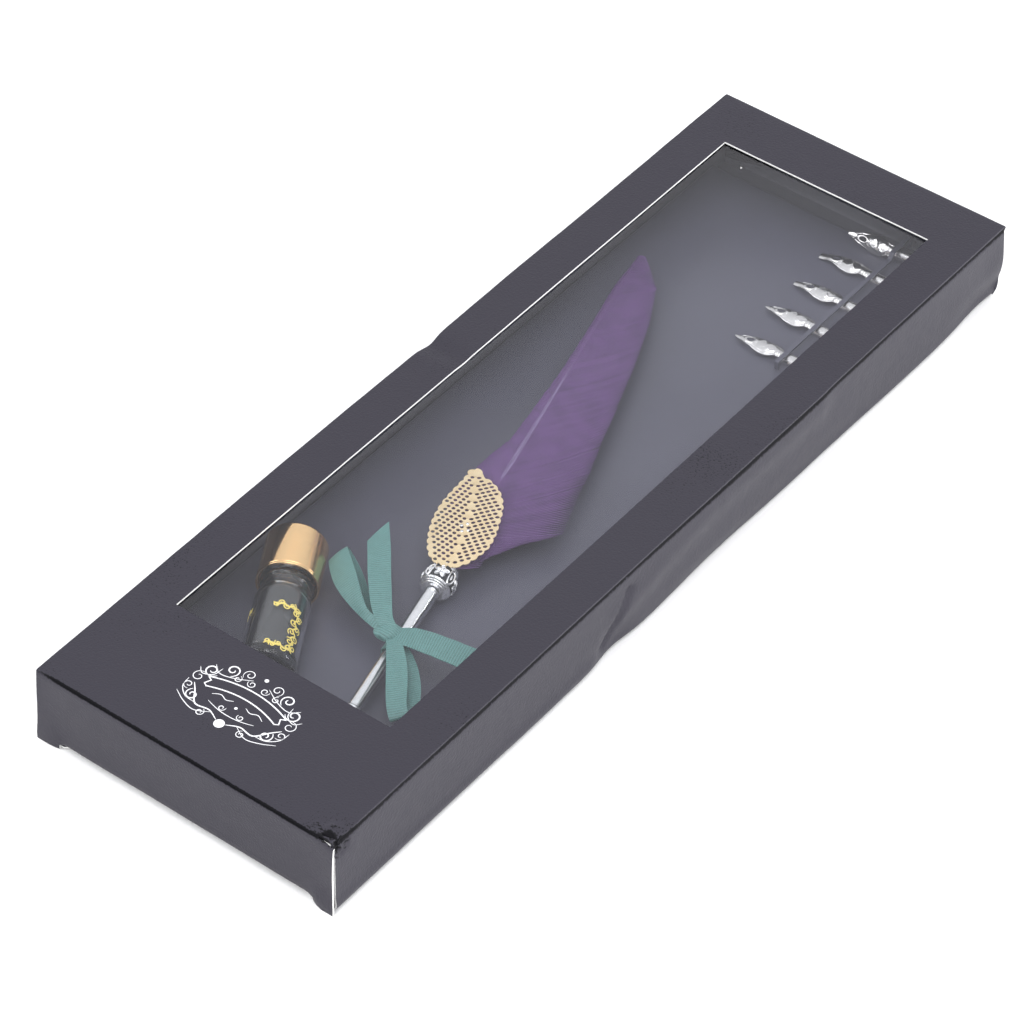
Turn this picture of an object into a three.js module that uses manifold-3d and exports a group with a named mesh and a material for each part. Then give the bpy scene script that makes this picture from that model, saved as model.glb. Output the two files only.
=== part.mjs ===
// Boxed quill pen set: a tuck-end carton with a film window, a formed tray, a feather pen with a
// ribbon bow, an ink bottle and five spare nibs.
// Millimetres, +Z up. The origin is the middle of the carton's underside. +X runs across the carton
// and +Y along it, from the plain end of the top panel (-Y) to the end where the nibs are kept (+Y).

import * as THREE from 'three';
import { mergeVertices } from 'three/addons/utils/BufferGeometryUtils.js';
import Module from 'manifold-3d';

const wasm = await Module();
wasm.setup();

// ---------- driving dimensions ----------
const gap = 0.3; // air kept between touching pieces
const board = 0.6; // carton board thickness
const carton = { width: 100, length: 310, height: 26 };
const windowHole = { xMin: -36.7, xMax: 35.7, yMin: -114.3, yMax: 135.6 };
const film = { thickness: 0.15, overlap: 7 };
const closureFold = 1.6; // height of the closure panel's lower edge between its two ears
const earWidth = 7.2;
const tuckDepth = 11;
const dustFlap = { reach: 19, bottom: 3.2, top: 24.4, taper: 4 };
const tray = { width: 95, length: 292, deckTop: 5.5, sheet: 0.5, endClearance: 3 };

const pen = { x: 3.7, y: -56.2, height: 10.7, turn: 12.2, tilt: 1.7 }; // degrees
const bead = { length: 9.3, radius: 4.8, bore: 1.9 };
const shaft = { length: 50, topRadius: 2.1, endRadius: 2.05 };
const holder = { length: 8, radius: 2.8, bore: 2.4, plug: 0.9 };
const quill = { start: 5.6, end: 151, sideBend: 6.2, rise: 0.48, baseRadius: 1.5, tipRadius: 0.35 };
const leaf = { baseX: 1.2, baseY: 7.8, length: 39.3, lean: 14.6, height: 4, thickness: 0.4 };
const ribbon = { width: 6.4, thickness: 0.4, knotX: -1.7, knotY: -23 };

const bottle = { capX: -34, capY: -67.4, axisHeight: 14.6, turn: 29.5 };
const cap = { length: 16.6, radius: 8.8, wall: 0.7 };
const glass = { bodyRadius: 7.9, neckRadius: 6.8, bodyLength: 27, shoulder: 2.4, neck: 17.8, wall: 1.1, base: 3.4 };
const thread = { pitch: 2.4, height: 0.7 };

const nibLength = 30;
const nibPitch = 14.85;
const spareNibs = { tailX: 34.2, firstY: 87, turn: -4, strapX: 20.8, strapWidth: 1.4 };

const degrees = Math.PI / 180;
const halfWidth = carton.width / 2;
const halfLength = carton.length / 2;
const panelUnderside = carton.height - board;

// ---------- shape helpers ----------
function boxBetween(low, high) {
  const geometry = new THREE.BoxGeometry(high[0] - low[0], high[1] - low[1], high[2] - low[2]);
  geometry.translate((low[0] + high[0]) / 2, (low[1] + high[1]) / 2, (low[2] + high[2]) / 2);
  return geometry;
}

function outline(points) {
  return new THREE.Shape(points.map(([x, y]) => new THREE.Vector2(x, y)));
}

// A flat sheet in the XY plane with its underside at zLow.
function flatSheet(shape, zLow, thickness) {
  const geometry = new THREE.ExtrudeGeometry(shape, { depth: thickness, bevelEnabled: false, curveSegments: 8 });
  geometry.translate(0, 0, zLow);
  return facingOut(geometry);
}

// A turned piece about +Y. The profile is a closed loop of [radius, y], or starts and ends on the axis.
function turned(profile, segments = 32) {
  const last = profile[profile.length - 1];
  const onAxis = profile[0][0] === 0 && last[0] === 0;
  const loop = onAxis ? profile : [...profile, profile[0]];
  const geometry = new THREE.LatheGeometry(loop.map(([r, y]) => new THREE.Vector2(r, y)), segments);
  return facingOut(geometry);
}

function signedVolume(geometry) {
  const position = geometry.getAttribute('position');
  const index = geometry.index.array;
  const [a, b, c] = [new THREE.Vector3(), new THREE.Vector3(), new THREE.Vector3()];
  let volume = 0;
  for (let i = 0; i < index.length; i += 3) {
    a.fromBufferAttribute(position, index[i]);
    b.fromBufferAttribute(position, index[i + 1]);
    c.fromBufferAttribute(position, index[i + 2]);
    volume += a.dot(b.cross(c)) / 6;
  }
  return volume;
}

// Merges shared corners, drops collapsed triangles and turns an inside-out body the right way round.
function facingOut(geometry) {
  const bare = geometry.index ? geometry.clone() : geometry;
  bare.deleteAttribute('normal');
  bare.deleteAttribute('uv');
  const merged = mergeVertices(bare, 1e-4);
  const kept = [];
  const index = merged.index.array;
  for (let i = 0; i < index.length; i += 3) {
    const [p, q, r] = [index[i], index[i + 1], index[i + 2]];
    if (p !== q && q !== r && r !== p) kept.push(p, q, r);
  }
  merged.setIndex(kept);
  if (signedVolume(merged) < 0) {
    for (let i = 0; i < kept.length; i += 3) {
      [kept[i], kept[i + 1]] = [kept[i + 1], kept[i]];
    }
    merged.setIndex(kept);
  }
  return merged;
}

function toManifold(geometry) {
  const merged = facingOut(geometry);
  return new wasm.Manifold(
    new wasm.Mesh({
      numProp: 3,
      vertProperties: new Float32Array(merged.getAttribute('position').array),
      triVerts: new Uint32Array(merged.index.array),
    })
  );
}

function cutAway(geometry, ...cutters) {
  let solid = toManifold(geometry);
  for (const cutter of cutters) {
    solid = solid.subtract(toManifold(cutter));
  }
  const mesh = solid.getMesh();
  const result = new THREE.BufferGeometry();
  result.setAttribute('position', new THREE.BufferAttribute(mesh.vertProperties, 3));
  result.setIndex(new THREE.BufferAttribute(mesh.triVerts, 1));
  return result;
}

// A closed skin between an upper and a lower grid of points, both rows x columns.
function skinBetween(upper, lower) {
  const rows = upper.length;
  const columns = upper[0].length;
  const positions = [...upper.flat(), ...lower.flat()].flat();
  const at = (side, i, j) => side * rows * columns + i * columns + j;
  const index = [];
  const quad = (a, b, c, d) => index.push(a, b, c, a, c, d);
  for (let i = 0; i < rows - 1; i += 1) {
    for (let j = 0; j < columns - 1; j += 1) {
      quad(at(0, i, j), at(0, i, j + 1), at(0, i + 1, j + 1), at(0, i + 1, j));
      quad(at(1, i, j), at(1, i + 1, j), at(1, i + 1, j + 1), at(1, i, j + 1));
    }
    quad(at(0, i, 0), at(0, i + 1, 0), at(1, i + 1, 0), at(1, i, 0));
    quad(at(0, i, columns - 1), at(1, i, columns - 1), at(1, i + 1, columns - 1), at(0, i + 1, columns - 1));
  }
  for (let j = 0; j < columns - 1; j += 1) {
    quad(at(0, 0, j), at(1, 0, j), at(1, 0, j + 1), at(0, 0, j + 1));
    quad(at(0, rows - 1, j), at(0, rows - 1, j + 1), at(1, rows - 1, j + 1), at(1, rows - 1, j));
  }
  const geometry = new THREE.BufferGeometry();
  geometry.setAttribute('position', new THREE.Float32BufferAttribute(positions, 3));
  geometry.setIndex(index);
  return facingOut(geometry);
}

function part(parent, name, geometry, material) {
  const mesh = new THREE.Mesh(geometry, material);
  mesh.name = name;
  parent.add(mesh);
  return mesh;
}

// ---------- materials ----------
const finish = (color, roughness, metalness = 0) => new THREE.MeshStandardMaterial({ color, roughness, metalness });
const blackBoard = finish(0x3c3b41, 0.6);
const clearFilm = new THREE.MeshStandardMaterial({ color: 0xe8ecf0, roughness: 0.08, transparent: true, opacity: 0.2 });
const blackTray = finish(0x24242a, 0.2);
const chromed = finish(0xd8d8dc, 0.15, 1);
const antiqueSilver = finish(0xa9a9ad, 0.3, 1);
const goldFoil = finish(0xe3c79a, 0.35, 1);
const feather = finish(0x4c3065, 0.8);
const quillHorn = finish(0x6a4c80, 0.5);
const satin = finish(0x4c746e, 0.6);
const goldCap = finish(0xdca75f, 0.25, 1);
const bottleGlass = new THREE.MeshStandardMaterial({ color: 0xdfe6ea, roughness: 0.05, transparent: true, opacity: 0.35 });
const ink = finish(0x16161e, 0.3);
const foam = finish(0xe6e6e2, 0.9);

// ---------- carton ----------
function windowPanel() {
  const shape = outline([
    [-halfWidth, -halfLength],
    [halfWidth, -halfLength],
    [halfWidth, halfLength],
    [-halfWidth, halfLength],
  ]);
  const hole = new THREE.Path();
  hole.moveTo(windowHole.xMin, windowHole.yMin);
  hole.lineTo(windowHole.xMin, windowHole.yMax);
  hole.lineTo(windowHole.xMax, windowHole.yMax);
  hole.lineTo(windowHole.xMax, windowHole.yMin);
  shape.holes.push(hole);
  return flatSheet(shape, panelUnderside, board);
}

// The underside panel is cut back between the ears, where the tuck flaps go in.
function bottomPanel() {
  const cornerEnd = halfLength - board - gap;
  const cutBack = cornerEnd - 2;
  const inner = halfWidth - earWidth - 1;
  return flatSheet(
    outline([
      [-halfWidth, -cornerEnd],
      [-inner, -cornerEnd],
      [-inner, -cutBack],
      [inner, -cutBack],
      [inner, -cornerEnd],
      [halfWidth, -cornerEnd],
      [halfWidth, cornerEnd],
      [inner, cornerEnd],
      [inner, cutBack],
      [-inner, cutBack],
      [-inner, cornerEnd],
      [-halfWidth, cornerEnd],
    ]),
    0,
    board
  );
}

function sideWall(side) {
  const outer = side * halfWidth;
  const inner = side * (halfWidth - board);
  const end = halfLength - board - gap;
  const [xLow, xHigh] = [Math.min(outer, inner), Math.max(outer, inner)];
  return boxBetween([xLow, -end, board + gap], [xHigh, end, panelUnderside - gap]);
}

function glueFlap() {
  const xHigh = -halfWidth + 2 * board + gap;
  return boxBetween([xHigh - board, -145, board + 2 * gap], [xHigh, 145, 13]);
}

// A flap hinged on a side wall that closes the carton's end behind the closure panel.
function dustFlapSheet(side, end) {
  const hinge = halfWidth - board - gap;
  const free = hinge - dustFlap.reach;
  const { bottom, top, taper } = dustFlap;
  const sheet = new THREE.ExtrudeGeometry(
    outline([
      [side * hinge, bottom],
      [side * hinge, top],
      [side * (hinge - taper), top],
      [side * free, top - taper],
      [side * free, bottom + taper],
      [side * (hinge - taper), bottom],
    ]),
    { depth: board, bevelEnabled: false }
  );
  sheet.rotateX(90 * degrees);
  const outerFace = halfLength - board - gap;
  sheet.translate(0, end > 0 ? outerFace : -outerFace + board, 0);
  return facingOut(sheet);
}

// The end panel, full width, with an ear at each lower corner and the tuck flap's fold between them.
function closurePanel(end) {
  const inner = halfWidth - earWidth;
  const sheet = new THREE.ExtrudeGeometry(
    outline([
      [-halfWidth, 0],
      [-inner, 0],
      [-inner, closureFold],
      [inner, closureFold],
      [inner, 0],
      [halfWidth, 0],
      [halfWidth, panelUnderside - gap],
      [-halfWidth, panelUnderside - gap],
    ]),
    { depth: board, bevelEnabled: false }
  );
  sheet.rotateX(90 * degrees);
  sheet.translate(0, end > 0 ? halfLength : -halfLength + board, 0);
  return facingOut(sheet);
}

function tuckFlap(end) {
  const fold = halfLength - board - gap;
  const free = fold - tuckDepth;
  const half = halfWidth - earWidth - 1;
  const corner = 5;
  return flatSheet(
    outline([
      [-half, end * fold],
      [-half, end * (free + corner)],
      [-half + corner, end * free],
      [half - corner, end * free],
      [half, end * (free + corner)],
      [half, end * fold],
    ]),
    closureFold,
    board
  );
}

function filmSheet() {
  const top = panelUnderside - gap;
  return boxBetween(
    [windowHole.xMin - film.overlap, windowHole.yMin - film.overlap, top - film.thickness],
    [windowHole.xMax + film.overlap, windowHole.yMax + film.overlap, top]
  );
}

const set = new THREE.Group();
const cartonGroup = new THREE.Group();
set.add(cartonGroup);
part(cartonGroup, 'carton_top_panel', windowPanel(), blackBoard);
part(cartonGroup, 'carton_bottom_panel', bottomPanel(), blackBoard);
part(cartonGroup, 'carton_left_wall', sideWall(-1), blackBoard);
part(cartonGroup, 'carton_right_wall', sideWall(1), blackBoard);
part(cartonGroup, 'carton_glue_flap', glueFlap(), blackBoard);
for (const [endName, end] of [['front', -1], ['rear', 1]]) {
  part(cartonGroup, `${endName}_dust_flap_left`, dustFlapSheet(-1, end), blackBoard);
  part(cartonGroup, `${endName}_dust_flap_right`, dustFlapSheet(1, end), blackBoard);
  part(cartonGroup, `${endName}_closure_panel`, closurePanel(end), blackBoard);
  part(cartonGroup, `${endName}_tuck_flap`, tuckFlap(end), blackBoard);
}
part(cartonGroup, 'window_film', filmSheet(), clearFilm);

// ---------- tray ----------
// A formed sheet: a flat deck on a skirt. The skirt is cut short at both ends, over the tuck flaps.
function traySheet() {
  const [x, y] = [tray.width / 2, tray.length / 2];
  const floor = board + gap;
  const outer = boxBetween([-x, -y, floor], [x, y, tray.deckTop]);
  const hollow = boxBetween(
    [-x + tray.sheet, -y + tray.sheet, floor - 1],
    [x - tray.sheet, y - tray.sheet, tray.deckTop - tray.sheet]
  );
  const endCut = halfLength - board - gap - tuckDepth - 1;
  const frontCut = boxBetween([-x - 1, -y - 1, floor - 1], [x + 1, -endCut, tray.endClearance]);
  const rearCut = boxBetween([-x - 1, endCut, floor - 1], [x + 1, y + 1, tray.endClearance]);
  return cutAway(outer, hollow, frontCut, rearCut);
}

part(set, 'insert_tray', traySheet(), blackTray);

// ---------- nibs ----------
// A nib is a bent sheet. Each station is [distance from the tail, radius, half angle in degrees, drop].
const nibTips = { pointed: 5, square: 14, chisel: 36 };

function nibSheet(tip) {
  const stations = [
    [0, 2.1, 84, 0],
    [10.5, 2.1, 84, 0],
    [12, 2.05, 78, 0],
    [15.5, 2.7, 72, 0.4],
    [19, 3, 66, 0.7],
    [22.5, 2.8, Math.max(54, tip), 0.8],
    [26, 2.5, Math.max(30, tip), 1],
    [nibLength, 2.4, tip, 1.5],
  ];
  const columns = 9;
  const sheet = 0.3;
  const ring = (radius, halfAngle, y, drop) =>
    Array.from({ length: columns }, (_, j) => {
      const angle = (j / (columns - 1) * 2 - 1) * halfAngle * degrees;
      return [radius * Math.sin(angle), y, radius * Math.cos(angle) - drop];
    });
  const upper = stations.map(([d, r, a, drop]) => ring(r, a, -d, drop));
  const lower = stations.map(([d, r, a, drop]) => ring(r - sheet, a, -d, drop));
  return skinBetween(upper, lower);
}

// The five spare nibs, from the near one to the far one, which has rolled on its side.
const spares = [
  { tip: 'pointed', x: 0, y: 0 },
  { tip: 'pointed', x: -0.4, y: 1 },
  { tip: 'square', x: 0, y: 0.4 },
  { tip: 'chisel', x: -1.2, y: 0.9 },
  { tip: 'pointed', x: 0.4, y: -1.4, roll: 50 },
];
const nibAxisHeight = tray.deckTop + gap + 0.05;
const rolledLift = 1.7;
spares.forEach(({ tip, x, y, roll = 0 }, i) => {
  const nib = part(set, `spare_nib_${i + 1}`, nibSheet(nibTips[tip]), chromed);
  const height = nibAxisHeight + (roll ? rolledLift : 0);
  nib.position.set(spareNibs.tailX + x, spareNibs.firstY + i * nibPitch + y, height);
  nib.rotation.set(0, roll * degrees, (-90 - spareNibs.turn) * degrees, 'ZYX');
});

// A narrow strap over the nibs' tails, standing on the deck at both ends and higher over the rolled nib.
function strapOverNibs() {
  const foot = tray.deckTop + gap;
  const low = nibAxisHeight + 2.1 + gap;
  const high = low + rolledLift + 0.2;
  const thick = 0.5;
  const yStart = spareNibs.firstY - 6;
  const yStep = spareNibs.firstY + 3.5 * nibPitch;
  const yEnd = spareNibs.firstY + 4 * nibPitch + 3.6;
  const band = new THREE.ExtrudeGeometry(
    outline([
      [yStart, foot],
      [yStart + thick, foot],
      [yStart + thick, low],
      [yStep, low],
      [yStep + 1, high],
      [yEnd - thick, high],
      [yEnd - thick, foot],
      [yEnd, foot],
      [yEnd, high + thick],
      [yStep + 0.7, high + thick],
      [yStep - 0.3, low + thick],
      [yStart, low + thick],
    ]),
    { depth: spareNibs.strapWidth, bevelEnabled: false }
  );
  band.rotateY(90 * degrees);
  band.rotateX(90 * degrees);
  band.translate(spareNibs.strapX, 0, 0);
  return facingOut(band);
}

part(set, 'nib_strap', strapOverNibs(), blackTray);

// ---------- pen ----------
// The pen's own frame: the origin is where the shaft meets the bead, +Y runs to the feather's tip.
const penGroup = new THREE.Group();
penGroup.position.set(pen.x, pen.y, pen.height);
penGroup.rotation.z = pen.turn * degrees;
set.add(penGroup);
const metalGroup = new THREE.Group();
metalGroup.rotation.x = pen.tilt * degrees;
penGroup.add(metalGroup);

function beadProfile() {
  const r = bead.radius;
  return [
    [bead.bore, 0.2],
    [r - 1, 0.2],
    [r - 0.2, 0.7],
    [r - 0.5, 1.1],
    [r, 1.6],
    [r - 0.4, 2.1],
    [r - 0.1, 2.6],
    [r - 0.4, 3.1],
    [r - 0.2, 4.4],
    [r - 0.7, 6.4],
    [r - 1.5, 8],
    [r - 1.3, 8.4],
    [r - 1.6, 8.8],
    [r - 1.7, bead.length],
    [bead.bore, bead.length],
  ];
}

function shaftProfile() {
  const { length, topRadius, endRadius } = shaft;
  const tenon = bead.bore - gap;
  const socket = holder.plug + gap;
  return [
    [0, 4],
    [tenon, 4],
    [tenon, -0.1],
    [topRadius, -0.1],
    [topRadius, -4],
    [endRadius, -length + 2.4],
    [endRadius + 0.4, -length + 1.8],
    [endRadius + 0.4, -length],
    [socket, -length],
    [socket, -length + 8],
    [0, -length + 8],
  ];
}

// The nib holder plugs into the shaft and is open towards the nib.
function holderProfile() {
  const top = -shaft.length - gap;
  const end = top - holder.length;
  return [
    [0, top + 7],
    [holder.plug, top + 7],
    [holder.plug, top],
    [holder.radius, top],
    [holder.radius, end],
    [holder.bore, end],
    [holder.bore, top - 1],
    [0, top - 1],
  ];
}

part(metalGroup, 'ferrule_bead', turned(beadProfile(), 28), antiqueSilver);
part(metalGroup, 'pen_shaft', turned(shaftProfile(), 24), chromed);
part(metalGroup, 'nib_holder', turned(holderProfile(), 24), chromed);
const penNib = part(metalGroup, 'pen_nib', nibSheet(nibTips.pointed), chromed);
penNib.position.y = -shaft.length - 2 * gap - 1;

// The quill: a tapering tube that bends a little away from the shaft's line.
function quillTube() {
  const stations = 26;
  const sides = 10;
  const { start, end, sideBend, rise, baseRadius, tipRadius } = quill;
  const rows = [];
  for (let i = 0; i <= stations; i += 1) {
    const t = i / stations;
    const y = start + (end - start) * t;
    const x = -sideBend * Math.pow(t, 1.2);
    const z = 0.25 + rise * Math.sin(t * Math.PI);
    const radius = baseRadius + (tipRadius - baseRadius) * t;
    rows.push({ x, y, z, radius });
  }
  const positions = [];
  for (const { x, y, z, radius } of rows) {
    for (let j = 0; j < sides; j += 1) {
      const angle = (j / sides) * 2 * Math.PI;
      positions.push(x + radius * Math.cos(angle), y, z + radius * Math.sin(angle));
    }
  }
  const index = [];
  for (let i = 0; i < stations; i += 1) {
    for (let j = 0; j < sides; j += 1) {
      const next = (j + 1) % sides;
      const [a, b] = [i * sides + j, i * sides + next];
      index.push(a, b, b + sides, a, b + sides, a + sides);
    }
  }
  for (let j = 1; j < sides - 1; j += 1) {
    index.push(0, j + 1, j);
    const top = stations * sides;
    index.push(top, top + j, top + j + 1);
  }
  const geometry = new THREE.BufferGeometry();
  geometry.setAttribute('position', new THREE.Float32BufferAttribute(positions, 3));
  geometry.setIndex(index);
  return facingOut(geometry);
}

// The vane's outline, from its base round the wide right-hand side to the tip and back.
function vaneSheet() {
  const right = [
    [4.6, 13],
    [7.6, 19],
    [14, 27],
    [20, 33],
    [21.2, 41],
    [20, 55],
    [17, 72],
    [13.6, 95],
    [10.8, 112],
    [7.6, 128],
    [3, 142],
  ];
  const left = [
    [-6.7, 154],
    [-8.3, 130],
    [-7.5, 105],
    [-6.5, 75],
    [-7.7, 60],
    [-9.7, 47],
    [-10.9, 36],
    [-8.9, 24],
    [-5.4, 14],
  ];
  const shape = new THREE.Shape();
  shape.moveTo(...right[0]);
  shape.splineThru([...right.slice(1), ...left].map(([x, y]) => new THREE.Vector2(x, y)));
  shape.closePath();
  const vane = new THREE.ExtrudeGeometry(shape, { depth: 0.5, bevelEnabled: false, curveSegments: 2 });
  return facingOut(vane.translate(0, 0, 2.2));
}

part(penGroup, 'feather_quill', quillTube(), quillHorn);
part(penGroup, 'feather_vane', vaneSheet(), feather);

// The pierced leaf lies over the base of the feather, leans to the left of the pen's line and curves.
function leafSheet() {
  const right = [
    [5.1, 0.06],
    [9.1, 0.25],
    [10.4, 0.46],
    [9.8, 0.65],
    [7.6, 0.83],
    [4, 0.94],
  ];
  const left = [
    [-1.6, 0.95],
    [-4, 0.72],
    [-6.6, 0.5],
    [-8, 0.28],
    [-6.4, 0.09],
  ];
  const place = ([x, share]) => new THREE.Vector2(x, share * leaf.length);
  const shape = new THREE.Shape();
  shape.moveTo(0, 0);
  shape.splineThru([...right, [0.6, 1]].map(place));
  shape.splineThru([...left, [0, 0]].map(place));
  return facingOut(new THREE.ExtrudeGeometry(shape, { depth: leaf.thickness, bevelEnabled: false, curveSegments: 3 }));
}

const leafMesh = part(penGroup, 'filigree_leaf', leafSheet(), goldFoil);
leafMesh.position.set(leaf.baseX, leaf.baseY, leaf.height);
leafMesh.rotation.z = leaf.lean * degrees;

// ---------- ribbon ----------
const shaftAxisAtKnot = ribbon.knotY * Math.sin(pen.tilt * degrees);
const ribbonGroup = new THREE.Group();
ribbonGroup.position.set(0, ribbon.knotY, shaftAxisAtKnot);
penGroup.add(ribbonGroup);

function wrapProfile() {
  const inner = shaft.topRadius + gap;
  const outer = inner + ribbon.thickness;
  const half = ribbon.width / 2;
  return [
    [inner, -half],
    [outer, -half],
    [outer, half],
    [inner, half],
  ];
}

function knotSolid() {
  const knot = new THREE.SphereGeometry(1, 16, 10);
  knot.scale(3.6, 3.2, 1.3);
  return facingOut(knot);
}

// A loop of ribbon seen from its side: out, round a fold and back.
function loopSolid(length, height) {
  const t = ribbon.thickness;
  const shape = new THREE.Shape();
  shape.moveTo(0, 0);
  shape.lineTo(length - height / 2, 0);
  shape.absarc(length - height / 2, height / 2, height / 2, -Math.PI / 2, Math.PI / 2, false);
  shape.lineTo(0, height);
  shape.lineTo(0, height - t);
  shape.lineTo(length - height / 2, height - t);
  shape.absarc(length - height / 2, height / 2, height / 2 - t, Math.PI / 2, -Math.PI / 2, true);
  shape.lineTo(0, t);
  shape.closePath();
  const band = new THREE.ExtrudeGeometry(shape, { depth: ribbon.width, bevelEnabled: false, curveSegments: 6 });
  band.rotateX(90 * degrees);
  band.translate(0, ribbon.width / 2, 0);
  return facingOut(band);
}

function tailSolid(length) {
  const half = ribbon.width / 2;
  return flatSheet(outline([[0, -half], [length + half, -half], [length - half, half], [0, half]]), 0, ribbon.thickness);
}

const wrapTop = shaft.topRadius + gap + ribbon.thickness;
part(ribbonGroup, 'ribbon_wrap', turned(wrapProfile(), 24), satin);
const knot = part(ribbonGroup, 'ribbon_knot', knotSolid(), satin);
knot.position.set(ribbon.knotX, 0, wrapTop + gap + 1.3);

// Each arm of the bow: its direction from the knot, its reach and its height over the shaft's line.
const armStart = 4.4;
const arms = [
  { name: 'ribbon_loop_left', loop: true, toX: -24.6, toY: 17.2, z: 4.4, rise: 3 },
  { name: 'ribbon_loop_right', loop: true, toX: 15.4, toY: -26, z: 3.6, rise: 3 },
  { name: 'ribbon_tail_left', loop: false, toX: -20.8, toY: 33, z: 7.9 },
  { name: 'ribbon_tail_right', loop: false, toX: 31, toY: 1.6, z: 6.9 },
];
for (const arm of arms) {
  const reach = Math.hypot(arm.toX, arm.toY) - armStart;
  const angle = Math.atan2(arm.toY, arm.toX);
  const mesh = part(ribbonGroup, arm.name, arm.loop ? loopSolid(reach, arm.rise) : tailSolid(reach), satin);
  mesh.position.set(ribbon.knotX + armStart * Math.cos(angle), armStart * Math.sin(angle), arm.z);
  mesh.rotation.z = angle;
}

// ---------- ink bottle ----------
// The bottle's own frame: the origin is the middle of the cap's outer end, +Y points away from the base.
const bottleGroup = new THREE.Group();
bottleGroup.position.set(bottle.capX, bottle.capY, bottle.axisHeight);
bottleGroup.rotation.z = bottle.turn * degrees;
set.add(bottleGroup);

const liner = { thickness: 1.2, radius: 7 };
const lipY = -cap.wall - 2 * gap - liner.thickness;
const neckEnd = lipY - glass.neck;
const shoulderEnd = neckEnd - glass.shoulder;
const baseY = shoulderEnd - glass.bodyLength;

function capProfile() {
  const inner = cap.radius - cap.wall;
  return [
    [0, 0],
    [cap.radius - 0.6, 0],
    [cap.radius, -0.6],
    [cap.radius, -cap.length],
    [inner, -cap.length],
    [inner, -cap.wall],
    [0, -cap.wall],
  ];
}

function glassProfile() {
  const { neckRadius: neck, bodyRadius: body, wall, base } = glass;
  const ridges = [];
  for (let y = lipY - 3; y > neckEnd + thread.pitch; y -= thread.pitch) {
    ridges.push([neck, y], [neck + thread.height, y - 0.5], [neck + thread.height, y - 0.9], [neck, y - 1.4]);
  }
  return [
    [neck - wall, lipY],
    [neck, lipY],
    ...ridges,
    [neck, neckEnd],
    [body - 0.5, shoulderEnd + 0.6],
    [body, shoulderEnd - 0.6],
    [body, baseY + 1],
    [body - 1, baseY],
    [0, baseY],
    [0, baseY + base],
    [body - wall - 0.8, baseY + base],
    [body - wall, baseY + base + 0.8],
    [body - wall, shoulderEnd - 1.2],
    [neck - wall, neckEnd - 1],
  ];
}

function inkProfile() {
  const radius = glass.bodyRadius - glass.wall - gap;
  const low = baseY + glass.base + gap;
  const neck = glass.neckRadius - glass.wall - gap;
  return [
    [0, low],
    [radius - 1, low],
    [radius, low + 1.3],
    [radius, shoulderEnd - 1.6],
    [neck, neckEnd - 1.4],
    [neck, neckEnd + 3],
    [0, neckEnd + 3],
  ];
}

part(bottleGroup, 'bottle_cap', turned(capProfile(), 32), goldCap);
const linerDisc = turned([[0, 0], [liner.radius, 0], [liner.radius, -liner.thickness], [0, -liner.thickness]], 28);
part(bottleGroup, 'cap_liner', linerDisc, foam).position.y = -cap.wall - gap;
part(bottleGroup, 'bottle_glass', turned(glassProfile(), 32), bottleGlass);
part(bottleGroup, 'ink', turned(inkProfile(), 28), ink);

export default set;
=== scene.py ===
# Boxed quill pen set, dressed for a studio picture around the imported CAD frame.
# Lengths are written in millimetres and become metres when a mesh is made. +X runs across the carton,
# +Y from its plain end to the end with the nibs, and Z up.
import math
import random
from contextlib import contextmanager

import bmesh
import bpy
from mathutils import Matrix, Vector, geometry, noise


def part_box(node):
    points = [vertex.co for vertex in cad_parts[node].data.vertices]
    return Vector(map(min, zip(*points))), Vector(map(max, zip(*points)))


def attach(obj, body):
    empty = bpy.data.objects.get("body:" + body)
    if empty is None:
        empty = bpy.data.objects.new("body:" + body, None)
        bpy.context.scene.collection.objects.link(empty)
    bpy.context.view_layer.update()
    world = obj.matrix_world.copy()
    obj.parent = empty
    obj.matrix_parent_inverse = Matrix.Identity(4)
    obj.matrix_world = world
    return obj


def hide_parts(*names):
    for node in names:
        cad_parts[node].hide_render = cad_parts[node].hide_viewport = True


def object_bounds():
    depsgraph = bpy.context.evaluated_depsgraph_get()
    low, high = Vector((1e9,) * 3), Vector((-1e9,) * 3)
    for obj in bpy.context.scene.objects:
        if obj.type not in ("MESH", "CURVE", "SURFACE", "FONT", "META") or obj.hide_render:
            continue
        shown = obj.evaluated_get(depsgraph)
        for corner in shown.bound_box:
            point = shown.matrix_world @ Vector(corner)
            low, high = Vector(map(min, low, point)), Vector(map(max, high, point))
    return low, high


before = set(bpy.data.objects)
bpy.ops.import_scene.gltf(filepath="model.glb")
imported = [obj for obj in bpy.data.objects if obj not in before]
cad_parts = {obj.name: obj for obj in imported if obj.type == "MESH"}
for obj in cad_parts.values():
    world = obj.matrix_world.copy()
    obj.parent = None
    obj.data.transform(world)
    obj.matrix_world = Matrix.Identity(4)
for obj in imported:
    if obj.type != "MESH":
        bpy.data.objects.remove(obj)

MM = 0.001
CAD_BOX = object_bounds()


def box_mm(node):
    """A CAD node's lowest and highest corner, in millimetres."""
    low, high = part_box(node)
    return low / MM, high / MM


# ---------- places and sizes ----------
HALF_WIDTH = CAD_BOX[1].x / MM
HALF_LENGTH = CAD_BOX[1].y / MM
HEIGHT = CAD_BOX[1].z / MM
MID_HEIGHT = 13
BOARD = 0.55  # the carton board's thickness
FILM_OVERLAP = 7
FILM_LOW, FILM_HIGH = box_mm("window_film")
WINDOW = {
    "x": (FILM_LOW.x + FILM_OVERLAP, FILM_HIGH.x - FILM_OVERLAP),
    "y": (FILM_LOW.y + FILM_OVERLAP, FILM_HIGH.y - FILM_OVERLAP),
}
EAR_INNER = 42.8  # the closure panels' ears run from here to the corner
FOLD_HEIGHT = 1.6  # height of the fold between the ears
WALL_END = HALF_LENGTH - 0.68
TUCK_END = HALF_LENGTH - 2.9

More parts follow.
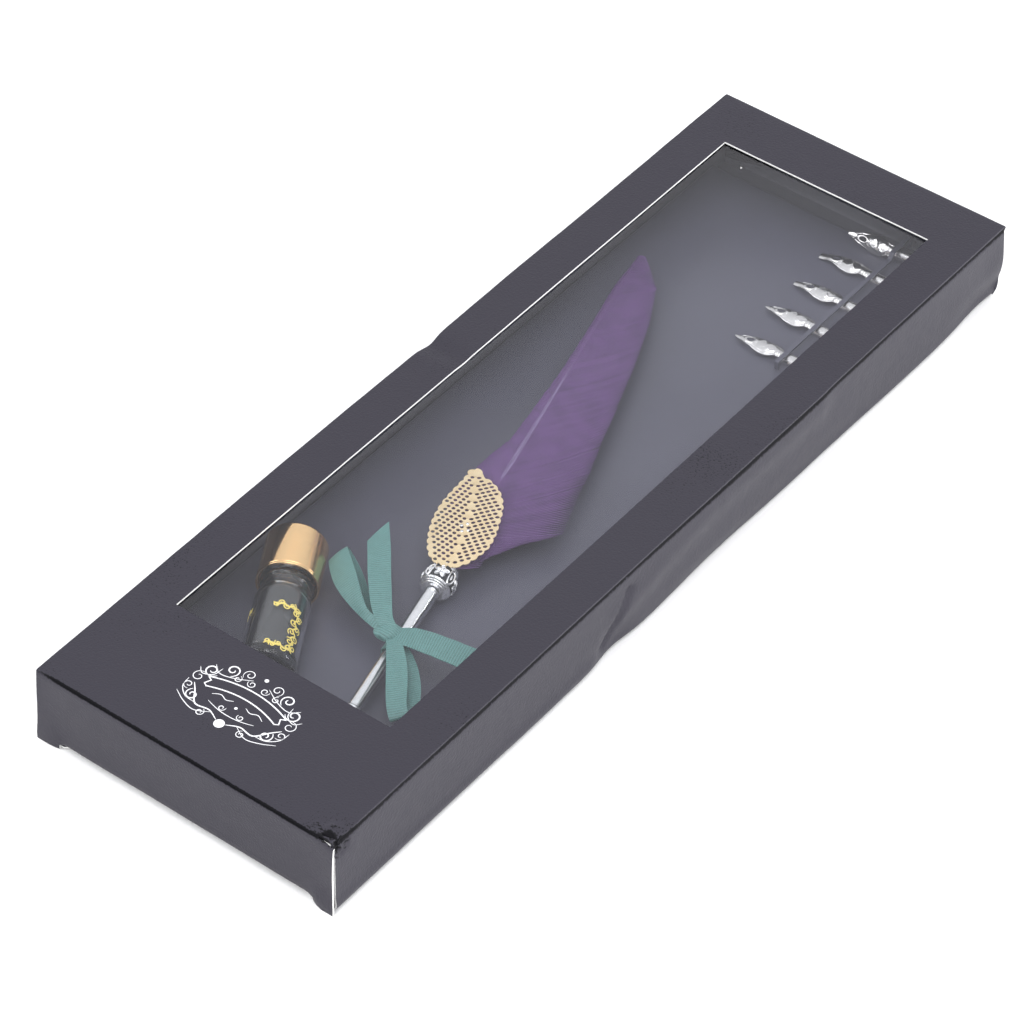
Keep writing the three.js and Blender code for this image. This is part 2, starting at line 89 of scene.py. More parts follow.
PEN_PLACE = Vector((3.7, -56.2, 10.7))  # where the shaft meets the bead
PEN_TURN = math.radians(12.2)
PEN_TILT = math.radians(1.7)
SHAFT_LENGTH = 50
KNOT_Y = -23  # along the pen, from the bead
BOTTLE_PLACE = Vector((-34, -67.4, 14.6))  # the middle of the cap's outer end
BOTTLE_TURN = math.radians(29.5)
NIB_TURN = math.radians(-86)
NIB_TAIL_X = 34.2
FIRST_NIB_Y = 87
NIB_PITCH = 14.85
NIB_SPOTS = [(0, 0, 0), (-0.4, 1, 0), (0, 0.4, 0), (-1.2, 0.9, 0), (0.4, -1.4, 50)]  # x, y, roll
NIB_STYLES = ["pointed", "pointed", "square", "chisel", "pointed"]

PEN = Matrix.Translation(PEN_PLACE) @ Matrix.Rotation(PEN_TURN, 4, "Z")
METAL = PEN @ Matrix.Rotation(PEN_TILT, 4, "X")
BOTTLE = Matrix.Translation(BOTTLE_PLACE) @ Matrix.Rotation(BOTTLE_TURN, 4, "Z")
BOW = Matrix.Translation((PEN @ Vector((0, KNOT_Y, 0))).xy.to_3d()) @ Matrix.Rotation(PEN_TURN, 4, "Z")


# ---------- node helpers ----------
class Finish:
    """A material built on one Principled shader, with short calls for the nodes that feed it."""

    def __init__(self, name, **sockets):
        self.material = bpy.data.materials.new(name)
        self.material.use_nodes = True
        self.nodes = self.material.node_tree.nodes
        self.links = self.material.node_tree.links
        self.shader = self.nodes["Principled BSDF"]
        self.output = self.nodes["Material Output"]
        for key, value in sockets.items():
            self.shader.inputs[key.replace("_", " ")].default_value = value
        self.place = self.nodes.new("ShaderNodeTexCoord").outputs["Object"]

    def node(self, kind, inputs=None, **settings):
        made = self.nodes.new(kind)
        for key, value in settings.items():
            setattr(made, key, value)
        for key, value in (inputs or {}).items():
            if isinstance(value, bpy.types.NodeSocket):
                self.links.new(value, made.inputs[key])
            else:
                made.inputs[key].default_value = value
        return made

    def noise(self, scale, detail=3.0, roughness=0.55, vector=None):
        made = self.node("ShaderNodeTexNoise", {"Scale": scale, "Detail": detail, "Roughness": roughness})
        self.links.new(vector or self.place, made.inputs["Vector"])
        return made.outputs["Fac"]

    def cells(self, scale):
        made = self.node("ShaderNodeTexVoronoi", {"Scale": scale}, feature="F1")
        self.links.new(self.place, made.inputs["Vector"])
        return made.outputs["Distance"]

    def stretched(self, scale, rotation=0.0):
        """Object coordinates scaled by axis, turned first about Z, for streaks."""
        turned = self.node("ShaderNodeMapping", {"Vector": self.place, "Rotation": (0, 0, -rotation)})
        return self.node("ShaderNodeMapping", {"Vector": turned.outputs[0], "Scale": scale}).outputs[0]

    def attribute(self, name):
        return self.node("ShaderNodeAttribute", attribute_name=name).outputs["Fac"]

    def math(self, operation, a, b):
        return self.node("ShaderNodeMath", {0: a, 1: b}, operation=operation).outputs[0]

    def ramp(self, factor, low, high, start=0.3, end=0.7):
        made = self.node("ShaderNodeValToRGB", {"Fac": factor})
        first, last = made.color_ramp.elements
        first.position, last.position = start, end
        first.color, last.color = (*low, 1), (*high, 1)
        return made.outputs["Color"]

    def span(self, factor, low, high):
        made = self.node("ShaderNodeMapRange", {"Value": factor, "To Min": low, "To Max": high})
        return made.outputs["Result"]

    def feed(self, socket, value):
        self.links.new(value, self.shader.inputs[socket])

    def bump(self, height, depth_mm, strength=1.0):
        settings = {"Height": height, "Distance": depth_mm * MM, "Strength": strength}
        self.feed("Normal", self.node("ShaderNodeBump", settings).outputs["Normal"])


def printed_board():
    """Black coated board with a fine leather-like emboss; painted shade darkens its colour in the creases."""
    finish = Finish("printed_board", Specular_IOR_Level=0.34)
    finish.shader.inputs["Specular Tint"].default_value = (0.95, 0.93, 1, 1)
    crease = finish.attribute("crease")
    grain = finish.math("ADD", finish.cells(1500), finish.noise(2400, 2))
    tone = finish.math("ADD", finish.noise(30, 1), finish.math("MULTIPLY", grain, 0.9))
    # painted shade: the crease attribute darkens the base colour along the folds and in the crushed corner
    tone = finish.math("SUBTRACT", tone, finish.math("MULTIPLY", crease, 1.7))
    finish.feed("Base Color", finish.ramp(tone, (0.001, 0.001, 0.002), (0.028, 0.026, 0.036), 0.85, 1.9))
    rough = finish.span(finish.noise(260, 2), 0.4, 0.52)
    finish.feed("Roughness", finish.math("ADD", rough, crease))
    finish.bump(grain, 0.09, 0.8)
    return finish.material


def board_inside():
    """The carton's dark lining."""
    finish = Finish("board_inside", Roughness=0.6)
    finish.feed("Base Color", finish.ramp(finish.noise(900, 5), (0.075, 0.075, 0.095), (0.1, 0.1, 0.125)))
    finish.bump(finish.noise(3000, 3), 0.03, 0.4)
    return finish.material


def board_core():
    """The white fibre that shows where the board is cut."""
    finish = Finish("board_core", Roughness=0.9)
    finish.feed("Base Color", finish.ramp(finish.noise(2200, 4), (0.74, 0.73, 0.71), (0.93, 0.93, 0.92)))
    finish.bump(finish.noise(5000, 3), 0.03, 0.5)
    return finish.material


def clear_film():
    """Thin clear plastic: it passes light and mirrors a little, more at a grazing angle."""
    finish = Finish("clear_film")
    tint = finish.node("ShaderNodeBsdfTransparent", {"Color": (0.985, 0.988, 0.99, 1)})
    mirror = finish.node("ShaderNodeBsdfGlossy", {"Color": (0.97, 0.96, 1, 1), "Roughness": 0.05})
    grazing = finish.node("ShaderNodeLayerWeight", {"Blend": 0.5}).outputs["Facing"]
    share = finish.math("ADD", finish.math("POWER", grazing, 4.0), 0.027)
    mixed = finish.node("ShaderNodeMixShader", {0: share, 1: tint.outputs[0], 2: mirror.outputs[0]})
    finish.links.new(mixed.outputs[0], finish.output.inputs["Surface"])
    return finish.material


def tray_sheet():
    """Glossy dark plastic sheet."""
    finish = Finish("tray_sheet", Specular_IOR_Level=0.3)
    finish.feed("Base Color", finish.ramp(finish.noise(40, 3), (0.078, 0.078, 0.108), (0.086, 0.086, 0.118)))
    finish.feed("Roughness", finish.span(finish.noise(180, 3), 0.3, 0.36))
    return finish.material


def bright_steel(name, tone, low, high):
    """Polished metal with faint drawing lines."""
    finish = Finish(name, Metallic=1.0)
    finish.feed("Base Color", finish.ramp(finish.noise(700, 3), [c * 0.93 for c in tone], tone))
    finish.feed("Roughness", finish.span(finish.noise(1500, 3), low, high))
    finish.bump(finish.noise(2600, 2), 0.004, 0.3)
    return finish.material


def antique_silver():
    """Cast metal, bright on its raised work and dark where the patina sits."""
    finish = Finish("antique_silver", Metallic=0.85)
    raised = finish.attribute("raised")
    finish.feed("Base Color", finish.ramp(raised, (0.04, 0.04, 0.045), (0.9, 0.9, 0.93), 0.15, 0.6))
    finish.feed("Roughness", finish.span(raised, 0.6, 0.27))
    finish.bump(finish.noise(3000, 3), 0.01, 0.3)
    return finish.material


def pale_gold():
    finish = Finish("pale_gold", Metallic=1.0)
    finish.feed("Base Color", finish.ramp(finish.noise(500, 3), (0.95, 0.74, 0.45), (1.0, 0.82, 0.54)))
    finish.feed("Roughness", finish.span(finish.noise(1800, 3), 0.3, 0.42))
    finish.bump(finish.noise(2400, 2), 0.008, 0.3)
    return finish.material


def cap_gold():
    """Anodised gold with a faint brushing round the cap."""
    finish = Finish("cap_gold", Metallic=1.0)
    brushed = finish.noise(1, 4, vector=finish.stretched((300, 6000, 300), BOTTLE_TURN))
    finish.feed("Base Color", finish.ramp(brushed, (0.93, 0.6, 0.29), (1.0, 0.68, 0.36)))
    finish.feed("Roughness", finish.span(brushed, 0.14, 0.24))
    finish.bump(brushed, 0.004, 0.25)
    return finish.material


def feather_barbs():
    """Dyed barbs: each strip has a tone of its own, with a soft sheen."""
    finish = Finish("feather_barbs", Roughness=0.62, Sheen_Weight=0.35, Sheen_Roughness=0.4)
    finish.shader.inputs["Sheen Tint"].default_value = (0.62, 0.45, 0.85, 1)
    tone = finish.math("ADD", finish.attribute("tone"), finish.noise(160, 4))
    finish.feed("Base Color", finish.ramp(tone, (0.05, 0.022, 0.09), (0.105, 0.045, 0.165), 0.45, 1.3))
    finish.bump(finish.noise(4200, 2), 0.02, 0.5)
    return finish.material


def feather_shaft():
    finish = Finish("feather_shaft", Roughness=0.4, Coat_Weight=0.2)
    along = finish.noise(1, 3, vector=finish.stretched((3000, 200, 3000), PEN_TURN))
    finish.feed("Base Color", finish.ramp(along, (0.10, 0.06, 0.16), (0.17, 0.12, 0.25)))
    finish.bump(along, 0.02, 0.4)
    return finish.material


def ribbon_satin():
    """Ribbed satin: fine cross ribs between two flat selvedges, from the strip's own coordinates."""
    finish = Finish("ribbon_satin", Roughness=0.5, Sheen_Weight=0.3, Sheen_Roughness=0.35)
    finish.shader.inputs["Sheen Tint"].default_value = (0.7, 0.9, 0.86, 1)
    uv = finish.node("ShaderNodeTexCoord").outputs["UV"]
    ribs = finish.node(
        "ShaderNodeTexWave",
        {"Vector": uv, "Scale": 0.42, "Distortion": 0.5, "Detail": 1.0, "Detail Scale": 2.0},
        wave_type="BANDS",
        bands_direction="X",
    ).outputs["Fac"]
    tone = finish.math("ADD", finish.math("MULTIPLY", ribs, 0.9), finish.noise(700, 4))
    finish.feed("Base Color", finish.ramp(tone, (0.045, 0.125, 0.12), (0.098, 0.235, 0.225), 0.35, 1.1))
    finish.bump(finish.math("ADD", ribs, finish.noise(5000, 2)), 0.06, 0.8)
    return finish.material


def bottle_glass():
    finish = Finish("bottle_glass", Roughness=0.02, IOR=1.46, Transmission_Weight=1.0)
    finish.feed("Base Color", finish.ramp(finish.noise(90, 2), (0.93, 0.95, 0.96), (0.97, 0.98, 0.985)))
    finish.bump(finish.noise(220, 2), 0.02, 0.2)
    return finish.material


def black_ink():
    finish = Finish("black_ink", Roughness=0.12)
    finish.feed("Base Color", finish.ramp(finish.noise(80, 2), (0.012, 0.012, 0.018), (0.02, 0.02, 0.028)))
    return finish.material


def gold_print():
    finish = Finish("gold_print", Metallic=0.35, Roughness=0.42)
    finish.feed("Base Color", finish.ramp(finish.noise(2500, 3), (0.86, 0.66, 0.13), (0.98, 0.82, 0.25)))
    finish.bump(finish.noise(5000, 2), 0.01, 0.4)
    return finish.material


def white_foil():
    finish = Finish("white_foil", Metallic=0.2, Roughness=0.4)
    finish.feed("Base Color", finish.ramp(finish.noise(2500, 3), (0.8, 0.8, 0.83), (0.97, 0.97, 0.98)))
    finish.bump(finish.noise(4200, 2), 0.01, 0.4)
    return finish.material


def white_foam():
    finish = Finish("white_foam", Roughness=0.95)
    finish.feed("Base Color", finish.ramp(finish.noise(1200, 4), (0.7, 0.7, 0.68), (0.85, 0.85, 0.83)))
    finish.bump(finish.cells(2500), 0.06, 0.6)
    return finish.material


MATERIALS = {
    "board": printed_board(),
    "inside": board_inside(),
    "core": board_core(),
    "film": clear_film(),
    "tray": tray_sheet(),
    "steel": bright_steel("nib_steel", (0.66, 0.65, 0.66), 0.2, 0.3),
    "chrome": bright_steel("shaft_chrome", (0.86, 0.87, 0.9), 0.2, 0.3),
    "silver": antique_silver(),
    "pale_gold": pale_gold(),
    "cap_gold": cap_gold(),
    "barbs": feather_barbs(),
    "quill": feather_shaft(),
    "satin": ribbon_satin(),
    "glass": bottle_glass(),
    "ink": black_ink(),
    "gold_print": gold_print(),
    "white_foil": white_foil(),
    "foam": white_foam(),
}
BOARD_FACES = ["board", "inside", "core"]
PRINTED_SIDE, CUT_EDGE = 0, 2  # places in BOARD_FACES


# ---------- mesh helpers ----------
@contextmanager
def reworked(mesh):
    """The mesh as a bmesh, written back when the block ends."""
    work = bmesh.new()
    work.from_mesh(mesh)
    yield work
    work.to_mesh(mesh)
    work.free()


def new_mesh(name, points, faces, finishes, place=None, field=None):
    """A mesh from points in millimetres. field names a value of its own for each point."""
    mesh = bpy.data.meshes.new(name)
    move = place or Matrix.Identity(4)
    mesh.from_pydata([(move @ Vector(p)) * MM for p in points], [], faces)
    for finish in finishes:
        mesh.materials.append(MATERIALS[finish])
    if field:
        mesh.attributes.new(field[0], "FLOAT", "POINT").data.foreach_set("value", field[1])
    return mesh


def add_piece(name, mesh, body):
    """Puts a smooth mesh into the scene as a piece that rides on a CAD body."""
    mesh.polygons.foreach_set("use_smooth", [True] * len(mesh.polygons))
    piece = bpy.data.objects.new(name, mesh)
    bpy.context.scene.collection.objects.link(piece)
    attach(piece, body)
    return piece


def make_piece(name, points, faces, finishes, body, place=None, field=None):
    """A piece from points in millimetres, with its double points joined."""
    mesh = new_mesh(name, points, faces, finishes, place, field)
    with reworked(mesh) as work:
        bmesh.ops.remove_doubles(work, verts=work.verts, dist=0.00001)
        bmesh.ops.dissolve_degenerate(work, edges=work.edges, dist=0.000005)
    return add_piece(name, mesh, body)


def clamped(value):
    return min(1.0, max(0.0, value))


def grid_faces(rows, columns, skip=None, around=False, flip=False):
    """Quads over a grid of points stored row by row. around joins the last column to the first."""
    faces = []
    for i in range(rows - 1):
        for j in range(columns if around else columns - 1):
            if skip and skip(i, j):
                continue
            after = (j + 1) % columns
            here, above = i * columns, (i + 1) * columns
            face = (here + j, here + after, above + after, above + j)
            faces.append(face[::-1] if flip else face)
    return faces


def settle(piece, sharp=40):
    """Makes the piece's modifiers permanent and keeps its sharp edges crisp."""
    mesh = bpy.data.meshes.new_from_object(piece.evaluated_get(bpy.context.evaluated_depsgraph_get()))
    piece.modifiers.clear()
    piece.data = mesh
    mesh.set_sharp_from_angle(angle=math.radians(sharp))
    return piece


def thicken(piece, thickness, offset=-1.0, board=False, sharp=40):
    """Gives a sheet its thickness. Board gets a plain inner face and a white cut edge."""
    solid = piece.modifiers.new("thickness", "SOLIDIFY")
    solid.thickness = thickness * MM
    solid.offset = offset
    solid.use_even_offset = not board
    if board:
        solid.material_offset = 1
        solid.material_offset_rim = 2
    return settle(piece, sharp)


def stops(low, high, spacing, forced=()):
    """Even steps from low to high that also land on each forced value."""
    knots = [low, *[f for f in forced if min(low, high) < f < max(low, high)], high]
    knots.sort(reverse=low > high)
    values = [low]
    for a, b in zip(knots, knots[1:]):
        count = max(1, round(abs(b - a) / spacing))
        values += [a + (b - a) * k / count for k in range(1, count + 1)]
    return values


def eased(points, radius, steps=3, closed=False):
    """The same outline with each corner rounded by a short curve. radius may be one for each point."""
    count = len(points)
    radii = radius if isinstance(radius, (list, tuple)) else [radius] * count
    result = []
    for i, point in enumerate(points):
        corner = Vector(point)
        if not closed and i in (0, count - 1):
            result.append(corner)
            continue
        before = Vector(points[i - 1]) - corner
        after = Vector(points[(i + 1) % count]) - corner
        reach = min(radii[i], before.length * 0.48, after.length * 0.48)
        if reach < 1e-6:
            result.append(corner)
            continue
        start = corner + before.normalized() * reach
        end = corner + after.normalized() * reach
        for k in range(steps + 1):
            t = k / steps
            result.append(start * (1 - t) ** 2 + corner * 2 * t * (1 - t) + end * t**2)
    return result


def smooth_path(points, steps):
    """A Catmull-Rom curve through the points, with steps pieces in each span."""
    vectors = [Vector(p) for p in points]
    padded = [vectors[0] * 2 - vectors[1], *vectors, vectors[-1] * 2 - vectors[-2]]
    result = []
    for a, b, c, d in zip(padded, padded[1:], padded[2:], padded[3:]):
        for k in range(steps):
            t = k / steps
            square = (2 * a - 5 * b + 4 * c - d) * t**2
            cube = (3 * b - a - 3 * c + d) * t**3
            result.append(0.5 * (2 * b + (c - a) * t + square + cube))
    return [*result, vectors[-1]]


def slope_at(stations, k):
    """The slope of a smooth curve through (x, value) stations, level at a peak so it never overshoots."""
    (x0, v0), (x1, v1) = stations[max(k - 1, 0)], stations[k]
    x2, v2 = stations[min(k + 1, len(stations) - 1)]
    before = (v1 - v0) / (x1 - x0) if x1 > x0 else (v2 - v1) / (x2 - x1)
    after = (v2 - v1) / (x2 - x1) if x2 > x1 else before
    return 2 * before * after / (before + after) if before * after > 0 else 0.0


def curve_value(stations, x):
    """The value at x on a smooth curve through (x, value) stations."""
    if x <= stations[0][0]:
        return stations[0][1]
    for k in range(len(stations) - 1):
        (x0, v0), (x1, v1) = stations[k], stations[k + 1]
        if x <= x1:
            t, span = (x - x0) / (x1 - x0), x1 - x0
            start, end = slope_at(stations, k) * span, slope_at(stations, k + 1) * span
            blend = v0 * (1 + 2 * t) * (1 - t) ** 2 + v1 * t * t * (3 - 2 * t)
            return blend + start * t * (1 - t) ** 2 - end * t * t * (1 - t)
    return stations[-1][1]


def ridge(distance, width):
    """A rounded ridge: 1 on its line, and 0 past its width."""
    return max(0.0, 1 - (distance / width) ** 2)


# ---------- carton ----------
# Marks of use on the carton: (centre, reach along each axis, push), in millimetres.
DENTS = [
    ((50, -36, 3), (9, 7, 6), (-1.1, 0, 0)),
    ((50, -31, 1), (9, 8, 3), (0, 0, 0.5)),
    ((50, 12, 1), (9, 26, 3), (-0.9, 0, 0.2)),
    ((50, 60, 2), (9, 30, 5), (-0.4, 0, 0)),
    ((50, 146, 3), (9, 12, 5), (-1.2, 0, 0.4)),
    ((50, 155, 14), (9, 7, 7), (0.8, 0, 0)),
    ((50, -153, 25), (5, 4, 4), (-0.9, 0.5, -1.0)),
    ((45, -151, 26), (3, 2.5, 6), (0, 0, -0.6)),
    ((-49, 10, 25), (7, 4, 5), (0.6, 0, -0.5)),
    ((-43, 9, 26), (8, 3, 6), (0, 0, -0.35)),
]
# Folds in the right wall: (path of (y, z), width, how far the fold stands out).
WALL_FOLDS = [
    ([(-29, 19), (-32, 15), (-35, 11), (-40, 5)], 1.3, -1.1),
    ([(-31, 13), (-22, 15), (-8, 18), (8, 20), (30, 20.5), (60, 21)], 4.5, 0.75),
    ([(-155, 2.6), (-100, 2.4), (-45, 3.0)], 1.6, 0.3),
]
CRUSHED = {"centre": Vector((48, -153, 25)), "reach": 4.6, "depth": 1.5}
WAVE = 0.22  # how far the board waves
CRUMPLE_SEED = 7
noise.seed_set(CRUMPLE_SEED)  # without a seed, noise_vector changes each time Blender starts


def path_distance(path, spot):
    """How far a spot is from a path of straight pieces."""
    nearest = 1e9
    for a, b in zip(path, path[1:]):
        a, b = Vector(a), Vector(b)
        t = clamped((spot - a).dot(b - a) / (b - a).length_squared)
        nearest = min(nearest, (a + (b - a) * t - spot).length)
    return nearest


def handled(point):
    """Moves a point of the carton by the board's waves, its dents, folds and crushed corner."""
    x, y, z = point
    side = clamped((abs(x) - 44) / 5)
    face = clamped((abs(z - MID_HEIGHT) - 9) / 3)
    wave = noise.noise(Vector((x, y, z)) * 0.022) * WAVE
    fine = noise.noise(Vector((x + 90, y, z)) * 0.11) * WAVE * 0.22
    moved = Vector((x, y, z))
    moved.x += math.copysign(side, x) * (wave + fine)
    moved.z += (face if z > MID_HEIGHT else 0.0) * (wave + fine) * 0.8
    for centre, reach, push in DENTS:
        away = sum(((p - c) / r) ** 2 for p, c, r in zip(point, centre, reach))
        if away < 9:
            moved += Vector(push) * math.exp(-away)
    if x > 48:
        for path, width, push in WALL_FOLDS:
            moved.x += push * math.exp(-((path_distance(path, Vector((y, z))) / width) ** 2))
    away = (Vector(point) - CRUSHED["centre"]).length / CRUSHED["reach"]
    if away < 2:
        crumple = noise.noise_vector(Vector(point) * 0.55) + noise.noise_vector(Vector(point) * 1.2) * 0.5
        crumple.z = min(crumple.z, 0.1)
        moved += crumple * CRUSHED["depth"] * math.exp(-(away**2))
    return moved


def sleeve_section():
    """The carton's outer skin across its width: glue flap, bottom, right wall, top, left wall."""
    flap_x = -HALF_WIDTH + BOARD + 0.35
    crease, roll = 0.55, 1.9
    corners = [
        (flap_x, MID_HEIGHT),
        (flap_x, 0),
        (HALF_WIDTH, 0),
        (HALF_WIDTH, HEIGHT),
        (-HALF_WIDTH, HEIGHT),
        (-HALF_WIDTH, 0.3),
    ]
    bends = eased(corners, [0, crease, roll, crease, crease, 0], 6)
    section = [bends[0]]
    for a, b in zip(bends, bends[1:]):
        level = abs(a.y - b.y) < 1e-6
        values = stops(0, (b - a).length, 3.0 if level or a.x < 0 else 0.9)
        if level and a.y > HEIGHT / 2:
            values = [a.x - x for x in stops(a.x, b.x, 3.0, [46, 45, 44, 43, 42, *WINDOW["x"]])]
        section += [a + (b - a).normalized() * v for v in values[1:]]
    return section


def sleeve_reach(x, z):
    """How far along Y the sleeve's skin goes at a place on its section."""
    if z > HEIGHT - 0.7:
        return HALF_LENGTH
    return TUCK_END if abs(x) < EAR_INNER - 1 and z < 0.1 else WALL_END


def crease_groove_and_shade(x, y, z):
    """How strongly the skin is creased at a place: along the right edge, at the panel's ends and in the
    crushed corner. It sinks a groove at the right edge and is painted as shade into the board's colour.
    """
    # painted shade along the right edge's fold and the top panel's ends, beside the real groove
    right_edge = math.exp(-((math.hypot(x - (HALF_WIDTH - 0.25), z - (HEIGHT - 0.95)) / 0.6) ** 4))
    fading = min(1.0, (HALF_WIDTH - abs(x)) / 9)
    end_edge = fading * clamped((-y - HALF_LENGTH + 0.5) / 0.3) if z > HEIGHT - 0.7 else 0.0
    corner = (Vector((x, y, z)) - CRUSHED["centre"]).length / CRUSHED["reach"]
    # painted shade: dark crumple lines in the crushed corner
    line = max(0.0, 1 - abs(noise.noise(Vector((x, y, z)) * 0.6)) * 7)
    return min(1.0, right_edge + end_edge + (0.15 + line) * math.exp(-(corner**2)))


def carton_sleeve():
    section = sleeve_section()
    marks = [TUCK_END, WALL_END, WALL_END + 0.35, WALL_END + 0.6]
    near_corner = [-HALF_LENGTH + 0.8 * k for k in range(2, 16)]
    rows = stops(-HALF_LENGTH, HALF_LENGTH, 1.4, [*[-m for m in marks], *near_corner, *WINDOW["y"], *marks])
    points, crease_shading = [], []
    for y in rows:
        for x, z in section:
            reach = sleeve_reach(x, z)
            over = max(0.0, abs(y) - WALL_END) if z > HEIGHT - 0.7 else 0.0
            spot = (x, max(-reach, min(reach, y)), z - 0.6 * over**2)
            # the crease value sinks a real groove at the right edge and is also kept as painted shade for the
            # board's colour
            crease = crease_groove_and_shade(x, y, z)
            moved = handled(spot)
            if x > HALF_WIDTH - 2 and z > HEIGHT - 2:
                moved -= Vector((1, 0, 1)).normalized() * 0.4 * crease
            points.append(moved)
            crease_shading.append(crease)

    def in_window(i, j):
        x = (section[j].x + section[j + 1].x) / 2
        y = (rows[i] + rows[i + 1]) / 2
        inside = WINDOW["x"][0] < x < WINDOW["x"][1] and WINDOW["y"][0] < y < WINDOW["y"][1]
        return inside and section[j].y > HEIGHT - 0.1

    faces = grid_faces(len(rows), len(section), in_window, flip=True)
    shade = ("crease", crease_shading)
    sleeve = make_piece("carton_sleeve", points, faces, BOARD_FACES, "set", field=shade)
    thicken(sleeve, BOARD, board=True)
    for face in sleeve.data.polygons:
        spot = face.center / MM
        if face.material_index == CUT_EDGE and spot.z > HEIGHT - 4 and abs(spot.y) > HALF_LENGTH - 4:
            face.material_index = PRINTED_SIDE
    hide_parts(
        "carton_top_panel",
        "carton_bottom_panel",
        "carton_left_wall",
        "carton_right_wall",
        "carton_glue_flap",
    )


def closure_inset(x, z, top):
    """How far the closure panel's skin stands back from the carton's end."""
    inset = 0.45 * max(0.0, 1 - (top - z) / 0.7) ** 2
    if abs(x) < EAR_INNER - 0.1:
        inset += 0.75 * max(0.0, 1 - (z - FOLD_HEIGHT) / 1.1) ** 2
    else:
        inset += (1.1 if x > 0 else 0.25) * max(0.0, 1 - z / 4.5) ** 2
    return inset


# How the front panel's lower ears flare: side, height, and how far out along Y and to the side.
EAR_FLARES = [(1, 10, 2.2, 1.1), (-1, 16, 1.0, 0.9)]


def ear_flare(x, z):
    """How far a front ear stands out along Y and to its side at a place on the panel."""
    for side, height, out, apart in EAR_FLARES:
        if side * x > EAR_INNER - 2:
            low = max(0.0, 1 - z / height) ** 2 * min(1.0, (side * x - EAR_INNER + 2) / 4)
            return out * low, side * apart * low
    return 0.0, 0.0


def closure_panel(end_name, end):
    """The end panel with an ear at each lower corner. Its edges are cut and bow out a little."""
    top = HEIGHT - BOARD - 0.35
    ear_marks = [EAR_INNER - 1.6, EAR_INNER - 0.8, EAR_INNER, EAR_INNER + 1.2]
    columns = stops(-HALF_WIDTH, HALF_WIDTH, 1.8, [*[-m for m in ear_marks], *ear_marks])
    row_marks = [0.7, FOLD_HEIGHT, FOLD_HEIGHT + 0.4, FOLD_HEIGHT + 1.1, top - 0.6, top - 0.3]
    rows = stops(0.1, top, 1.6, row_marks)
    points, crease_shading = [], []
    for z in rows:
        for x in columns:
            wave = noise.noise(Vector((x * 0.05, end * 7, z * 0.08))) * 0.3
            near_edge = max(0.0, 1 - (HALF_WIDTH - abs(x)) / 9)
            bow = 0.4 * near_edge**2 * math.sin(math.pi * z / top)
            depth = closure_inset(x, z, top) - wave * 0.5 - bow * (1 if x > 0 else 1.7)
            rounding = 0.8 if x > 0 else 0.2
            narrow = 0.05 + rounding * max(0.0, 1 - z / 4) ** 2 + 0.2 * math.sin(math.pi * z / top)
            across = x * (1 - narrow * near_edge / HALF_WIDTH)
            sink, fading = 0.0, 0.0
            if end < 0:
                out, apart = ear_flare(x, z)
                depth -= out
                across += apart
                sink = 0.9 * math.exp(-(((HALF_WIDTH - x) / 3) ** 2)) * (z / top) ** 6
                fading = min(1.0, (HALF_WIDTH - abs(x)) / 9)
            points.append(Vector((across, end * (HALF_LENGTH - depth), z - sink)))
            # painted shade along the fold where the end panel meets the top
            crease_shading.append(fading * clamped((z - top + 0.45) / 0.3))

    def open_below(i, j):
        middle = (columns[j] + columns[j + 1]) / 2
        return abs(middle) < EAR_INNER and rows[i + 1] <= FOLD_HEIGHT + 0.01

    faces = grid_faces(len(rows), len(columns), open_below, flip=end > 0)
    name = f"{end_name}_closure_board"
    body = f"{end_name}_closure"
    panel = make_piece(name, points, faces, BOARD_FACES, body, field=("crease", crease_shading))
    thicken(panel, BOARD, board=True)
    for face in panel.data.polygons:
        folded = abs(face.center.x) < (EAR_INNER + 0.2) * MM or face.center.z > 10 * MM
        if face.material_index == CUT_EDGE and folded and abs(face.normal.z) > 0.3:
            face.material_index = PRINTED_SIDE
    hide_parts(f"{end_name}_closure_panel")


def board_flap(name, outline, lay, body, node, flip):
    """A flat flap cut from board. lay turns an outline point into a place on the flap's outer face."""
    rounded = eased(outline, 1.2, 4, closed=True)
    points = [lay(p.x, p.y) for p in rounded]
    order = tuple(range(len(points)))
    flap = make_piece(name, points, [order[::-1] if flip else order], BOARD_FACES, body)
    thicken(flap, BOARD, board=True, sharp=30)
    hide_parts(node)


def carton_flaps():
    for end_name, end in (("front", -1), ("rear", 1)):
        half, taper = EAR_INNER - 1, 5
        fold, free = HALF_LENGTH - 0.95, HALF_LENGTH - 11.9
        right_half = [(half, fold), (half, free + taper), (half - taper, free)]
        board_flap(
            f"{end_name}_tuck_board",
            [(-half, fold), *right_half, (taper - half, free), (-half, free + taper)],
            lambda x, y, end=end: (x, end * y, FOLD_HEIGHT),
            f"{end_name}_tuck",
            f"{end_name}_tuck_flap",
            flip=end < 0,
        )
        for side_name, side in (("left", -1), ("right", 1)):
            node = f"{end_name}_dust_flap_{side_name}"
            low, high = box_mm(node)
            hinge = HALF_WIDTH - 0.9
            free_x = hinge - (high.x - low.x)
            face_y = end * (HALF_LENGTH - 0.95)
            board_flap(
                f"{end_name}_dust_board_{side_name}",
                [
                    (hinge, low.z),
                    (hinge, high.z),
                    (hinge - 4, high.z),
                    (free_x, high.z - 4),
                    (free_x, low.z + 4),
                    (hinge - 4, low.z),
                ],
                lambda x, z, side=side, face_y=face_y: (side * x, face_y, z),
                "set",
                node,
                flip=side * end < 0,
            )


